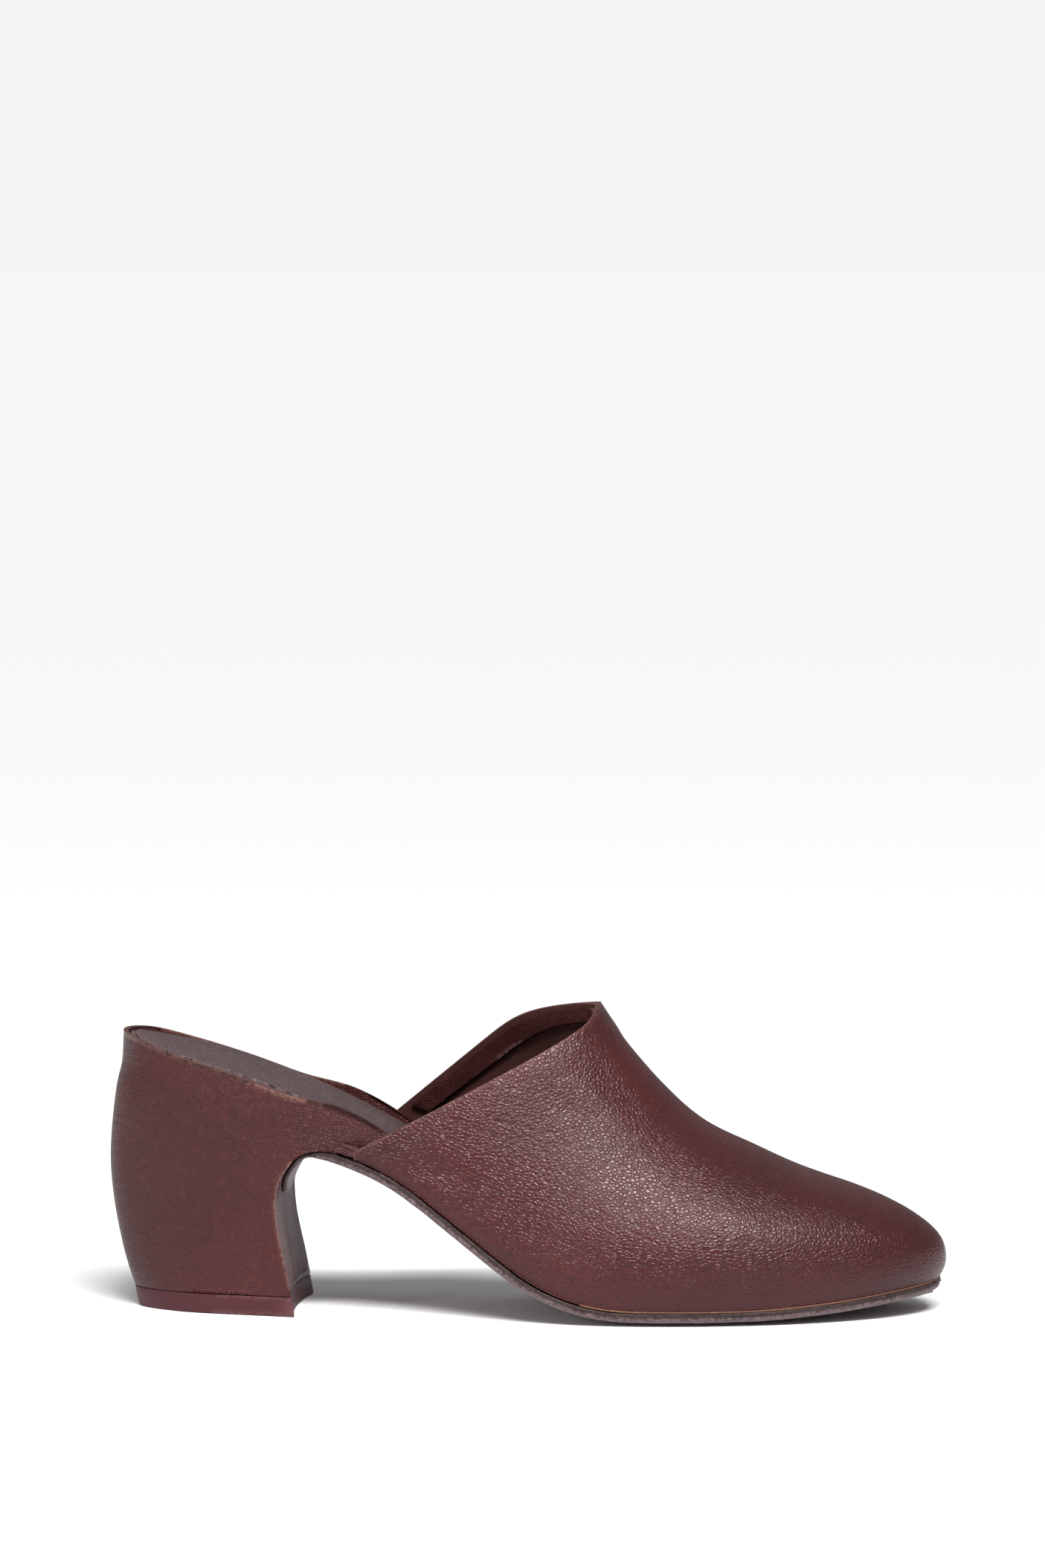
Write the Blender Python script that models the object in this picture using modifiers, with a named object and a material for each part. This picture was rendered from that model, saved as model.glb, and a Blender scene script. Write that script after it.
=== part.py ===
"""Leather mule for the right foot: closed toe, open back, leather-covered block heel.

Metres, +Z up, +X to the toe, +Y to the inner side of the foot.
The origin is the middle of the heel tip's underside, on the floor.
"""
import math

import bmesh
import bpy
import numpy as np

# Driving sizes of the shoe
SHOE_LENGTH = 0.247
BALL_WIDTH = 0.0775
SEAT_HEIGHT = 0.0805
THROAT_HEIGHT = 0.0902
TOE_SPRING = 0.0056
TOE_OVERHANG = 0.0016

# Heel and its rubber tip
HEEL_TIP_LENGTH = 0.0492
HEEL_TIP_THICKNESS = 0.0058
HEEL_OVERHANG = 0.0084
SEAT_WIDTH = 0.0535
BREAST_HOLLOW = 0.0020
WING_REACH = 0.0345
RIM_WIDTH = 0.0016
RIM_DEPTH = 0.0014
RIM_RISE = 0.0011
BACK_ROUND = 0.0240
BACK_POWER = 2.1
TIP_EDGE = 0.0005
FLAP_FOOT = 4

# Sole, upper and footbed
OUTSOLE_THICKNESS = 0.0030
FLAP_THICKNESS = 0.0013
FLAP_WIDTH = 0.036
FLAP_ROUND = 0.75
SOLE_LEDGE = 0.0008
SOLE_BOW = 0.0009
UPPER_WALL = 0.0018
FACING_WIDTH = 0.0046
FACING_THICKNESS = 0.0009
FACING_DROP = 0.0012
FACING_GAP = 0.0007
FOOTBED_THICKNESS = 0.0034
FOOTBED_CROWN = 0.0012
FOOTBED_EDGE = 0.0003
FOOTBED_FEET = 0.0004
CLEARANCE = 0.0003

# Places along the shoe that the sizes give
X_TIP_BACK = -HEEL_TIP_LENGTH / 2
X_TIP_FRONT = X_TIP_BACK + HEEL_TIP_LENGTH
X_BACK = X_TIP_BACK - HEEL_OVERHANG
X_TOE = X_BACK + SHOE_LENGTH
X_SOLE_TOE = X_TOE - TOE_OVERHANG
X_WING = X_TIP_FRONT + WING_REACH
SOLE_SPAN = X_SOLE_TOE - X_TIP_FRONT
ARCH_SPAN = SEAT_HEIGHT - OUTSOLE_THICKNESS
HEEL_FOOT = HEEL_TIP_THICKNESS + CLEARANCE
X_ROUND = X_TIP_BACK + BACK_ROUND
Y_TOE = 0.103 * BALL_WIDTH
X_WING_ROOT = X_TIP_FRONT + 0.01 * SOLE_SPAN
X_BOW_START = X_TIP_FRONT + 0.22 * SOLE_SPAN
X_BOW_FULL = X_TIP_FRONT + 0.45 * SOLE_SPAN

# Front of the heel seen from the side:
# forward (share of the tip's length), rise (share of the seat's height)
BREAST_ROWS = (
    (0.978, 0.076),
    (0.951, 0.164),
    (0.913, 0.260),
    (0.890, 0.340),
    (0.882, 0.418),
    (0.900, 0.488),
    (0.941, 0.532),
    (1.004, 0.577),
)

# Back of the heel: rise (share of the seat's height), bulge (share of the overhang)
BACK_ROWS = (
    (0.070, 0.12),
    (0.126, 0.34),
    (0.258, 0.66),
    (0.388, 0.89),
    (0.550, 1.00),
    (0.685, 0.93),
    (0.816, 0.76),
    (0.915, 0.55),
    (1.030, 0.50),
)

# Half width of the heel: rise (share of the seat's height), width (share of the seat's width),
# taper (share of the width lost from the front to the back)
HEEL_WIDTH_ROWS = (
    (0.070, 0.462, 0.43),
    (0.300, 0.474, 0.34),
    (0.600, 0.490, 0.16),
    (0.850, 0.499, 0.03),
    (1.030, 0.494, 0.00),
)

# Top of the outsole ahead of the heel: along (share of the way to the toe),
# arch (share of the arch's span), spring (share of the toe spring)
SOLE_ROWS = (
    (0.018, 0.583, 0.0),
    (0.036, 0.592, 0.0),
    (0.062, 0.585, 0.0),
    (0.109, 0.549, 0.0),
    (0.156, 0.494, 0.0),
    (0.203, 0.416, 0.0),
    (0.250, 0.327, 0.0),
    (0.297, 0.237, 0.0),
    (0.344, 0.149, 0.0),
    (0.391, 0.078, 0.0),
    (0.437, 0.033, 0.0),
    (0.480, 0.009, 0.0),
    (0.525, 0.000, 0.0),
    (0.680, 0.000, 0.0),
    (0.760, 0.000, 0.10),
    (0.840, 0.000, 0.32),
    (0.920, 0.000, 0.64),
    (1.000, 0.000, 1.0),
)

# Half widths of the outsole behind the ball: along (share of the way to the toe),
# outer and inner side (shares of the ball's width)
WAIST_ROWS = (
    (-0.030, 0.343, 0.342),
    (0.040, 0.350, 0.345),
    (0.090, 0.364, 0.351),
    (0.130, 0.374, 0.353),
    (0.180, 0.384, 0.352),
    (0.230, 0.396, 0.357),
    (0.300, 0.424, 0.382),
    (0.380, 0.455, 0.431),
    (0.460, 0.469, 0.480),
    (0.530, 0.470, 0.514),
    (0.620, 0.470, 0.529),
)

# Where the round of the toe starts, and how square it is
OUTER_TOE_START = 0.530
INNER_TOE_START = 0.620
OUTER_TOE_POWER = 1.85
INNER_TOE_POWER = 2.2
X_TOE_START = X_TIP_FRONT + OUTER_TOE_START * SOLE_SPAN

# Top edge of the seat: along (share of the shoe's length), rise (share of the seat's height)
SEAT_ROWS = (
    (0.016, 1.003),
    (0.045, 0.987),
    (0.071, 0.964),
    (0.114, 0.931),
    (0.155, 0.894),
    (0.215, 0.829),
    (0.274, 0.757),
    (0.339, 0.656),
)

# Footbed above the outsole ahead of the seat:
# along (share of the way to the toe), lift (share of the seat's height)
LIFT_ROWS = (
    (0.195, 0.084),
    (0.248, 0.068),
    (0.300, 0.050),
    (0.353, 0.033),
    (0.406, 0.018),
    (0.460, 0.007),
    (0.520, 0.0),
    (1.000, 0.0),
)

# Ridge of the upper: along (share of the throat to the end of the ridge),
# height (share of the throat's height), sideways (share of the ball's width)
RIDGE_ROWS = (
    (0.000, 1.000, 0.120),
    (0.065, 0.928, 0.102),
    (0.128, 0.864, 0.100),
    (0.192, 0.806, 0.103),
    (0.256, 0.751, 0.107),
    (0.320, 0.699, 0.112),
    (0.385, 0.652, 0.118),
    (0.448, 0.616, 0.120),
    (0.513, 0.587, 0.122),
    (0.640, 0.541, 0.125),
    (0.770, 0.493, 0.125),
    (0.895, 0.453, 0.125),
    (1.000, 0.426, 0.125),
)
THROAT_AT = 0.585
RIDGE_END_AT = 0.866
COLLAR_CORNER_AT = 0.304
RIDGE_END_SLOPE = -0.31

# Fullness of the upper's sides: along (0 at the collar, 1 at the end of the ridge, 2 at the toe's
# tip), bulge past the feather line and height of the fullest place (shares of the ball's width),
# squareness
FULLNESS_ROWS = (
    (0.00, 0.008, 0.030, 2.00),
    (0.25, 0.012, 0.070, 2.05),
    (0.55, 0.020, 0.110, 2.15),
    (1.00, 0.026, 0.105, 2.30),
    (2.00, 0.029, 0.070, 2.75),
)

# Edge of the outsole from the tread up: inset (share of the thickness), level (share of the thickness)
SOLE_EDGE_ROWS = (
    (1.00, 0.00),
    (0.52, 0.07),
    (0.24, 0.26),
    (0.14, 0.48),
    (0.13, 0.66),
    (0.00, 0.72),
    (0.00, 0.94),
    (0.06, 1.00),
)

# Lean of the collar seen from the side, and how late it turns level, on the outer and inner side
OUTER_COLLAR_LEAN = 1.13
INNER_COLLAR_LEAN = 0.71
OUTER_COLLAR_TURN = 10.0
INNER_COLLAR_TURN = 22.0

# Share of the way up the back that the wing's underside joins
TOP_SIDE_SHARE = 0.93

# Footbed's step down ahead of the wing, and how soon it widens to the upper's wall
STEP_RUN = 0.0015
WIDEN_RUN = 0.012

# The facing's run along the collar's slant, and the profile row that it starts from
STRIP_STRETCH = 1.15
FACING_FIRST_ROW = 2

# Fineness of the meshes
PATH_STEPS = 1200
FLAP_STATIONS = 5
WING_STATIONS = 12
FORE_STATIONS = 14
TOE_STATIONS = 9
BACK_STATIONS = 8
SIDE_STATIONS = 8
SEAT_STATIONS = 9
PROFILE_STATIONS = 17
PROFILE_ROWS = 12
TUCK_ROWS = 3
ACROSS = 6
WAIST_CROWDING = 1.4
CLIMB_CROWDING = 0.9
CLIMB_PASSES = 4
RIDGE_CROWDING = 1.1
PROFILE_STEP = 0.002
SMOOTH_ANGLE = math.radians(38)
MERGE_DISTANCE = 0.00001


def smooth_curve(places, values):
    """Return a curve through the rows that never overshoots them."""
    x = np.asarray(places, float)
    y = np.asarray(values, float)
    step = np.diff(x)
    slope = np.diff(y) / step
    tangent = np.concatenate(([slope[0]], np.zeros(len(x) - 2), [slope[-1]]))
    for i in range(1, len(x) - 1):
        if slope[i - 1] * slope[i] > 0:
            before = 2 * step[i] + step[i - 1]
            after = step[i] + 2 * step[i - 1]
            tangent[i] = (before + after) / (before / slope[i - 1] + after / slope[i])

    def curve(at):
        i = int(np.clip(np.searchsorted(x, at, side="right") - 1, 0, len(step) - 1))
        t = (at - x[i]) / step[i]
        if t < 0 or t > 1:
            end = 0 if t < 0 else -1
            return y[end] + tangent[end] * (at - x[end])
        return (
            (1 + 2 * t) * (1 - t) ** 2 * y[i]
            + t * (1 - t) ** 2 * step[i] * tangent[i]
            + t * t * (3 - 2 * t) * y[i + 1]
            + t * t * (t - 1) * step[i] * tangent[i + 1]
        )

    return curve


def ease(at, start, end):
    """Return 0 before start and 1 after end, with a soft change between."""
    t = min(max((at - start) / (end - start), 0.0), 1.0)
    return t * t * (3 - 2 * t)


def column(rows, index):
    """Return one named column of a table."""
    return [row[index] for row in rows]


def along_sole(share):
    """Return the place along the shoe for a share of the way from the heel's front to the toe."""
    return X_TIP_FRONT + share * SOLE_SPAN


def along_shoe(share):
    """Return the place along the shoe for a share of its whole length."""
    return X_BACK + share * SHOE_LENGTH


# Back and width of the heel at each height
back_of_heel = smooth_curve(
    [row[0] * SEAT_HEIGHT for row in BACK_ROWS],
    [X_TIP_BACK - row[1] * HEEL_OVERHANG for row in BACK_ROWS],
)
heel_half_width = smooth_curve(
    [row[0] * SEAT_HEIGHT for row in HEEL_WIDTH_ROWS],
    [row[1] * SEAT_WIDTH for row in HEEL_WIDTH_ROWS],
)
heel_taper = smooth_curve(
    [row[0] * SEAT_HEIGHT for row in HEEL_WIDTH_ROWS],
    [row[2] for row in HEEL_WIDTH_ROWS],
)


def sole_path():
    """Return the outsole's top line, from the tip of the flap on the breast to the toe."""
    corners = [
        (X_TIP_BACK + forward * HEEL_TIP_LENGTH + CLEARANCE, rise * SEAT_HEIGHT)
        for forward, rise in BREAST_ROWS[FLAP_FOOT:]
    ]
    corners += [
        (along_sole(along), OUTSOLE_THICKNESS + arch * ARCH_SPAN + spring * TOE_SPRING)
        for along, arch, spring in SOLE_ROWS
    ]
    reach = np.concatenate(([0], np.cumsum([math.dist(a, b) for a, b in zip(corners, corners[1:])])))
    forward = smooth_curve(reach, column(corners, 0))
    height = smooth_curve(reach, column(corners, 1))
    steps = np.linspace(0, reach[-1], PATH_STEPS)
    line = np.array([(forward(s), height(s)) for s in steps])
    lengths = np.concatenate(([0], np.cumsum(np.hypot(*np.diff(line, axis=0).T))))
    return line, lengths


PATH_LINE, PATH_LENGTHS = sole_path()
PATH_SLOPE = np.gradient(PATH_LINE[:, 1], PATH_LENGTHS)
PATH_RUN = np.gradient(PATH_LINE[:, 0], PATH_LENGTHS)
ARCH_TOP = int(np.argmax(PATH_LINE[:, 1]))


def path_at(length):
    """Return the outsole's top point and its upward normal at a length along the path."""
    x = np.interp(length, PATH_LENGTHS, PATH_LINE[:, 0])
    z = np.interp(length, PATH_LENGTHS, PATH_LINE[:, 1])
    run = np.interp(length, PATH_LENGTHS, PATH_RUN)
    slope = np.interp(length, PATH_LENGTHS, PATH_SLOPE)
    size = math.hypot(run, slope)
    return x, z, -slope / size, run / size


def length_at(x):
    """Return the length along the path of a place ahead of the heel."""
    return float(np.interp(x, PATH_LINE[ARCH_TOP:, 0], PATH_LENGTHS[ARCH_TOP:]))


def sole_top(x):
    """Return the height of the outsole's top at a place ahead of the heel."""
    return float(np.interp(x, PATH_LINE[ARCH_TOP:, 0], PATH_LINE[ARCH_TOP:, 1]))


def sole_bow(x, reach=1.0):
    """Return how far the forepart of the sole rises towards its edges."""
    return SOLE_BOW * ease(x, X_BOW_START, X_BOW_FULL) * reach ** 4


outer_waist = smooth_curve(
    [along_sole(row[0]) for row in WAIST_ROWS], [row[1] * BALL_WIDTH for row in WAIST_ROWS]
)
inner_waist = smooth_curve(
    [along_sole(row[0]) for row in WAIST_ROWS], [row[2] * BALL_WIDTH for row in WAIST_ROWS]
)


def sole_half_width(side, x):
    """Return the outsole's reach to one side of the heel's middle line."""
    start = along_sole(OUTER_TOE_START if side < 0 else INNER_TOE_START)
    waist = outer_waist if side < 0 else inner_waist
    if x <= start:
        return side * waist(x)
    power = OUTER_TOE_POWER if side < 0 else INNER_TOE_POWER
    share = min((x - start) / (X_SOLE_TOE - start), 1.0)
    return Y_TOE + (side * waist(start) - Y_TOE) * (1 - share ** power) ** (1 / power)


def toe_round(side, share):
    """Return a point of the toe's outline, share 0 at its start and 1 at the tip."""
    along = math.sin(share * math.pi / 2) ** (2 / OUTER_TOE_POWER)
    x = X_TOE_START + (X_SOLE_TOE - X_TOE_START) * along
    return x, sole_half_width(side, x)


def sole_stations():
    """Return the lengths along the path of the flap's end, the waist and the forepart."""
    first = FLAP_ROUND * FLAP_WIDTH / 2
    flap = [first * (1 - math.cos(i / FLAP_STATIONS * math.pi / 2)) for i in range(FLAP_STATIONS)]
    wing = length_at(X_WING)
    shares = [(i / WING_STATIONS) ** WAIST_CROWDING for i in range(WING_STATIONS + 1)]
    waist = [first + (wing - first) * share for share in shares]
    fore = list(np.linspace(wing, length_at(X_TOE_START), FORE_STATIONS + 1)[1:-1])
    return flap, waist, fore


def seat_line():
    """Return the footbed's edge height along the shoe."""
    places = [along_shoe(row[0]) for row in SEAT_ROWS]
    heights = [row[1] * SEAT_HEIGHT for row in SEAT_ROWS]
    for along, lift in LIFT_ROWS:
        x = along_sole(along)
        places.append(x)
        heights.append(sole_top(x) + CLEARANCE + FOOTBED_THICKNESS + lift * SEAT_HEIGHT)
    return smooth_curve(places, heights)


seat_height = seat_line()


def under_vamp(side, x):
    """Return the reach of what lies inside the upper's lower edge."""
    return sole_half_width(side, x) - side * (SOLE_LEDGE + UPPER_WALL + CLEARANCE)


def heel_side(side, x, z):
    """Return the reach of the covered heel and its wing, away from its round back."""
    behind = min(max((X_TIP_FRONT - x) / HEEL_TIP_LENGTH, 0.0), 1.0)
    plain = side * heel_half_width(z) * (1 - heel_taper(z) * behind)
    hidden = ease(x, X_WING_ROOT, along_shoe(COLLAR_CORNER_AT))
    if hidden == 0:
        return plain
    foot = max(x - max(z - sole_top(x), 0.0), X_TIP_FRONT)
    return plain * (1 - hidden) + under_vamp(side, foot) * hidden


def add_grid(bm, rows):
    """Fill faces between neighbouring rows of points, and return the rows of vertices."""
    made = [[bm.verts.new(point) for point in row] for row in rows]
    for low, high in zip(made, made[1:]):
        for corners in zip(low, low[1:], high[1:], high):
            bm.faces.new(corners)
    return made


def finish(name, bm, closed=True):
    """Merge the seams of a mesh, turn its faces outwards and make it an object."""
    bmesh.ops.remove_doubles(bm, verts=bm.verts, dist=MERGE_DISTANCE)
    if closed:
        bmesh.ops.recalc_face_normals(bm, faces=bm.faces)
    mesh = bpy.data.meshes.new(name)
    bm.to_mesh(mesh)
    bm.free()
    thing = bpy.data.objects.new(name, mesh)
    mesh.shade_smooth()
    mesh.set_sharp_from_angle(angle=SMOOTH_ANGLE)
    return thing


def outward(points):
    """Return the outward unit normals of a closed outline that runs round by the outer side."""
    run = np.roll(points, -1, axis=0) - np.roll(points, 1, axis=0)
    normals = np.stack((run[:, 1], -run[:, 0]), axis=1)
    return normals / np.linalg.norm(normals, axis=1)[:, None]


def close_outline(outer, inner):
    """Join the outer and inner side into one outline, with each end point once."""
    return np.array(list(outer) + list(inner[-2:0:-1]))


def slab(name, outer, inner, layers, place):
    """Build a solid from layers of one outline, with a lid above and below.

    Each layer is an inset and a level, and place gives the point of an outline place and a level.
    """
    outline = close_outline(outer, inner)
    normals = outward(outline)
    last = len(outer) - 1
    bm = bmesh.new()
    rings = [outline - normals * distance for distance, _ in layers]
    levels = [level for _, level in layers]
    walls = [[place(x, y, level, 1.0) for x, y in ring] for ring, level in zip(rings, levels)]
    add_grid(bm, [wall + wall[:1] for wall in walls])
    for ring, level in ((rings[0], levels[0]), (rings[-1], levels[-1])):
        near = ring[:last + 1]
        far = np.concatenate((ring[:1], ring[:last:-1], ring[last:last + 1]))
        lid = []
        for a, b in zip(near, far):
            shares = np.linspace(0, 1, ACROSS + 1)
            lid.append([place(*(a * (1 - s) + b * s), level, abs(2 * s - 1)) for s in shares])
        add_grid(bm, lid)
    return finish(name, bm)


def outsole_outline(side):
    """Return one side of the outsole, unrolled: length along its path, and reach."""
    tongue = FLAP_WIDTH / 2
    full = length_at(along_sole(SOLE_ROWS[1][0]))
    flap, waist, fore = sole_stations()
    points = []
    for i, length in enumerate(flap):
        points.append((length, side * tongue * math.sin(i / FLAP_STATIONS * math.pi / 2)))
    for length in waist + fore:
        wide = ease(length, waist[0], full)
        x = max(path_at(length)[0], X_TIP_FRONT)
        points.append((length, side * tongue * (1 - wide) + sole_half_width(side, x) * wide))
    for share in np.linspace(0, 1, TOE_STATIONS + 1):
        x, y = toe_round(side, share)
        points.append((length_at(x), y))
    return points


def build_outsole():
    """Build the outsole with its rounded edge, its upper strip and the flap on the heel's front."""
    full = length_at(along_sole(SOLE_ROWS[0][0]))

    def place(length, y, level, reach):
        x, z, nx, nz = path_at(length)
        grown = ease(length, full / 2, 3 * full / 2)
        thick = FLAP_THICKNESS + (OUTSOLE_THICKNESS - FLAP_THICKNESS) * grown
        drop = (level - 1) * thick
        return x + nx * drop, y, z + nz * drop + sole_bow(x, reach)

    layers = [(inset_share * OUTSOLE_THICKNESS, level) for inset_share, level in SOLE_EDGE_ROWS]
    return slab("outsole", outsole_outline(-1), outsole_outline(1), layers, place)


def heel_top(x):
    """Return the height of the rolled rim of the heel's cover."""
    return seat_height(x) + RIM_RISE * (1 - ease(x, X_BACK + HEEL_OVERHANG / 2, X_ROUND)) + CLEARANCE


def heel_fronts():
    """Return the places and heights of the heel's front, the wing's underside and its blunt end."""
    fronts = [
        (X_TIP_BACK + forward * HEEL_TIP_LENGTH, max(rise * SEAT_HEIGHT, HEEL_FOOT))
        for forward, rise in BREAST_ROWS[:FLAP_FOOT]
    ]
    flap, waist, _ = sole_stations()
    for length in flap + waist:
        x, z, nx, nz = path_at(length)
        fronts.append((x + nx * CLEARANCE, z + nz * CLEARANCE))
    return fronts


def climb_of(x, z):
    """Return a height as a share of the way from the heel's foot to its rim."""
    return (z - HEEL_FOOT) / (heel_top(x) - HEEL_FOOT)


def wing_floor(x):
    """Return the climb of the wing's underside, and of its start for places further back."""
    at = max(x, X_TIP_FRONT)
    return climb_of(at, sole_top(at) + CLEARANCE)


def heel_ring_side(side, front, at_back):
    """Return one side of a ring of the heel, from the middle of its back to its front."""
    front_x, front_z = front
    on_wing = front_x > X_TIP_FRONT
    at_front = climb_of(front_x, front_z)
    points = []
    for i in range(BACK_STATIONS + SIDE_STATIONS + 1):
        angle = min(i / BACK_STATIONS, 1) * math.pi / 2
        forward = max(i - BACK_STATIONS, 0) / SIDE_STATIONS
        z = HEEL_FOOT + at_back * (heel_top(X_BACK) - HEEL_FOOT)
        for _ in range(CLIMB_PASSES):
            back = back_of_heel(z)
            x = X_ROUND - (X_ROUND - back) * math.cos(angle) ** (2 / BACK_POWER)
            x += forward * (front_x - X_ROUND)
            left = math.sqrt(max((front_x - x) / (front_x - back), 0.0))
            if on_wing:
                over_front = at_front - wing_floor(front_x)
                over_back = at_back - wing_floor(0)
                climb = wing_floor(x) + over_front * (1 - left) + over_back * left
            else:
                climb = at_front + (at_back - at_front) * left
            z = HEEL_FOOT + climb * (heel_top(x) - HEEL_FOOT)
        y = heel_side(side, x, z) * math.sin(angle) ** (2 / BACK_POWER)
        points.append((x, y, z))
    return points


def heel_across(outer, inner, share, hollow):
    """Return a point between two places of a ring, hollowed towards the back."""
    x, y, z = (np.array(outer) * (1 - share) + np.array(inner) * share)
    return x - hollow * (1 - (2 * share - 1) ** 2), y, z


def block(name, pairs, hollows):
    """Build a solid from rings of an outer and an inner side, with a hollowed front."""
    bm = bmesh.new()
    shares = np.linspace(0, 1, ACROSS + 1)
    rings = []
    for (outer, inner), hollow in zip(pairs, hollows):
        front = [heel_across(outer[-1], inner[-1], share, hollow) for share in shares[1:-1]]
        rings.append(outer + front + inner[::-1])
    add_grid(bm, rings)
    for end in (0, -1):
        outer, inner = pairs[end]
        lid = []
        for i, (a, b) in enumerate(zip(outer, inner)):
            deep = hollows[end] * max((i - BACK_STATIONS) / SIDE_STATIONS, 0) ** 2
            lid.append([heel_across(a, b, share, deep) for share in shares])
        add_grid(bm, lid)
    return finish(name, bm)


def build_heel():
    """Build the covered heel: block, seat and the wing that reaches under the upper's corner."""
    flap_height = BREAST_ROWS[FLAP_FOOT][1] * SEAT_HEIGHT
    fronts = heel_fronts()
    breast = sum(1 for x, _ in fronts if x <= X_TIP_FRONT)
    wing = len(fronts) - breast
    start = wing_floor(0)
    climbs = [start * (i / (breast - 1)) ** CLIMB_CROWDING for i in range(breast)]
    climbs += [start + (TOP_SIDE_SHARE - start) * (i + 1) / wing for i in range(wing)]
    fronts.append((fronts[-1][0], heel_top(fronts[-1][0])))
    climbs.append(1.0)
    pairs = []
    for front, climb in zip(fronts, climbs):
        pairs.append((heel_ring_side(-1, front, climb), heel_ring_side(1, front, climb)))
    hollows = [BREAST_HOLLOW * max(1 - z / flap_height, 0) for _, z in fronts]
    return block("heel", pairs, hollows)


def build_heel_tip():
    """Build the rubber tip, with the swallow-tail front of the heel above it."""
    back = back_of_heel(HEEL_FOOT)
    front = X_TIP_BACK + BREAST_ROWS[0][0] * HEEL_TIP_LENGTH
    rake = X_TIP_FRONT - front
    middle = (front + back) / 2
    pairs = []
    for level, shrink in ((0.0, TIP_EDGE), (TIP_EDGE, 0.0), (HEEL_TIP_THICKNESS, 0.0)):
        sides = []
        for side in (-1, 1):
            points = []
            for i in range(BACK_STATIONS + SIDE_STATIONS + 1):
                angle = min(i / BACK_STATIONS, 1) * math.pi / 2
                x = X_ROUND - (X_ROUND - back) * math.cos(angle) ** (2 / BACK_POWER)
                x += max(i - BACK_STATIONS, 0) / SIDE_STATIONS * (front - X_ROUND)
                x = middle + (x - middle) * (1 - 2 * shrink / HEEL_TIP_LENGTH)
                wide = heel_side(side, x, HEEL_FOOT) - side * shrink
                wide *= math.sin(angle) ** (2 / BACK_POWER)
                points.append((x + rake * (1 - level / HEEL_TIP_THICKNESS), wide, level))
            sides.append(points)
        pairs.append(sides)
    return block("heel_tip", pairs, [BREAST_HOLLOW] * 3)


def footbed_outline(side, margin):
    """Return one side of the seat's outline, inside the heel's rim and the upper's wall."""
    top = SEAT_HEIGHT
    back = back_of_heel(top)
    points = []
    for i in range(BACK_STATIONS):
        angle = i / BACK_STATIONS * math.pi / 2
        x = X_ROUND - (X_ROUND - back - margin) * math.cos(angle) ** (2 / BACK_POWER)
        wide = heel_side(side, x, top) - side * margin
        points.append((x, wide * math.sin(angle) ** (2 / BACK_POWER)))
    places = list(np.linspace(X_ROUND, X_WING, SEAT_STATIONS + 1))
    places += [X_WING + 2 * CLEARANCE, X_WING + STEP_RUN]
    places += list(np.linspace(X_WING + STEP_RUN, X_TOE_START, FORE_STATIONS + 1)[1:-1])
    for x in places:
        hidden = ease(x, X_WING, X_WING + WIDEN_RUN)
        wide = heel_side(side, x, top) - side * margin * (1 - hidden) - side * CLEARANCE * hidden
        points.append((x, wide))
    distance = SOLE_LEDGE + UPPER_WALL + 2 * CLEARANCE
    sole = [toe_round(side, share) for share in np.linspace(0, 1, TOE_STATIONS + 1)]
    other = [toe_round(-side, share) for share in np.linspace(0, 1, TOE_STATIONS + 1)]
    joined = np.array(sole + other[-2::-1])
    normals = side * -1 * outward(joined)
    moved = joined - normals * distance
    moved[0] = (X_TOE_START, sole[0][1] - side * distance)
    points += [tuple(point) for point in moved[:TOE_STATIONS + 1]]
    return points


def footbed_floor(x):
    """Return the height of the footbed's underside."""
    step = ease(x, X_WING + 2 * CLEARANCE, X_WING + STEP_RUN)
    seat = seat_height(x) - RIM_DEPTH
    if step == 0:
        return seat
    return seat * (1 - step) + (sole_top(x) + FOOTBED_FEET) * step


def build_footbed():
    """Build the wrapped insole with its crowned sock pad."""
    margin = RIM_WIDTH + CLEARANCE

    def place(x, y, level, reach):
        floor = footbed_floor(x) + sole_bow(x, reach)
        top = seat_height(x) + FOOTBED_CROWN * (1 - reach ** 2) - CLEARANCE + sole_bow(x, reach)
        return x, y, floor + (top - floor) * level

    layers = [(FOOTBED_EDGE, 0.0), (0.0, 0.15), (0.0, 0.75), (FOOTBED_EDGE, 1.0)]
    return slab("footbed", footbed_outline(-1, margin), footbed_outline(1, margin), layers, place)


def build_seat_cutter():
    """Build the shape that sinks the seat into the heel's cover and leaves its rim."""
    def place(x, y, level, reach):
        floor = seat_height(x) - RIM_DEPTH - CLEARANCE
        return x, y, floor + level * SEAT_WIDTH

    layers = [(0.0, 0.0), (0.0, 1.0)]
    outer = footbed_outline(-1, RIM_WIDTH)
    return slab("seat_cutter", outer, footbed_outline(1, RIM_WIDTH), layers, place)


X_CORNER = along_shoe(COLLAR_CORNER_AT)
X_THROAT = along_shoe(THROAT_AT)
X_RIDGE_END = along_shoe(RIDGE_END_AT)
ridge_height = smooth_curve(column(RIDGE_ROWS, 0), [row[1] * THROAT_HEIGHT for row in RIDGE_ROWS])
ridge_sideways = smooth_curve(column(RIDGE_ROWS, 0), [row[2] * BALL_WIDTH for row in RIDGE_ROWS])
side_bulge = smooth_curve(column(FULLNESS_ROWS, 0), [row[1] * BALL_WIDTH for row in FULLNESS_ROWS])
side_rise = smooth_curve(column(FULLNESS_ROWS, 0), [row[2] * BALL_WIDTH for row in FULLNESS_ROWS])
side_power = smooth_curve(column(FULLNESS_ROWS, 0), column(FULLNESS_ROWS, 3))


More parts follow.
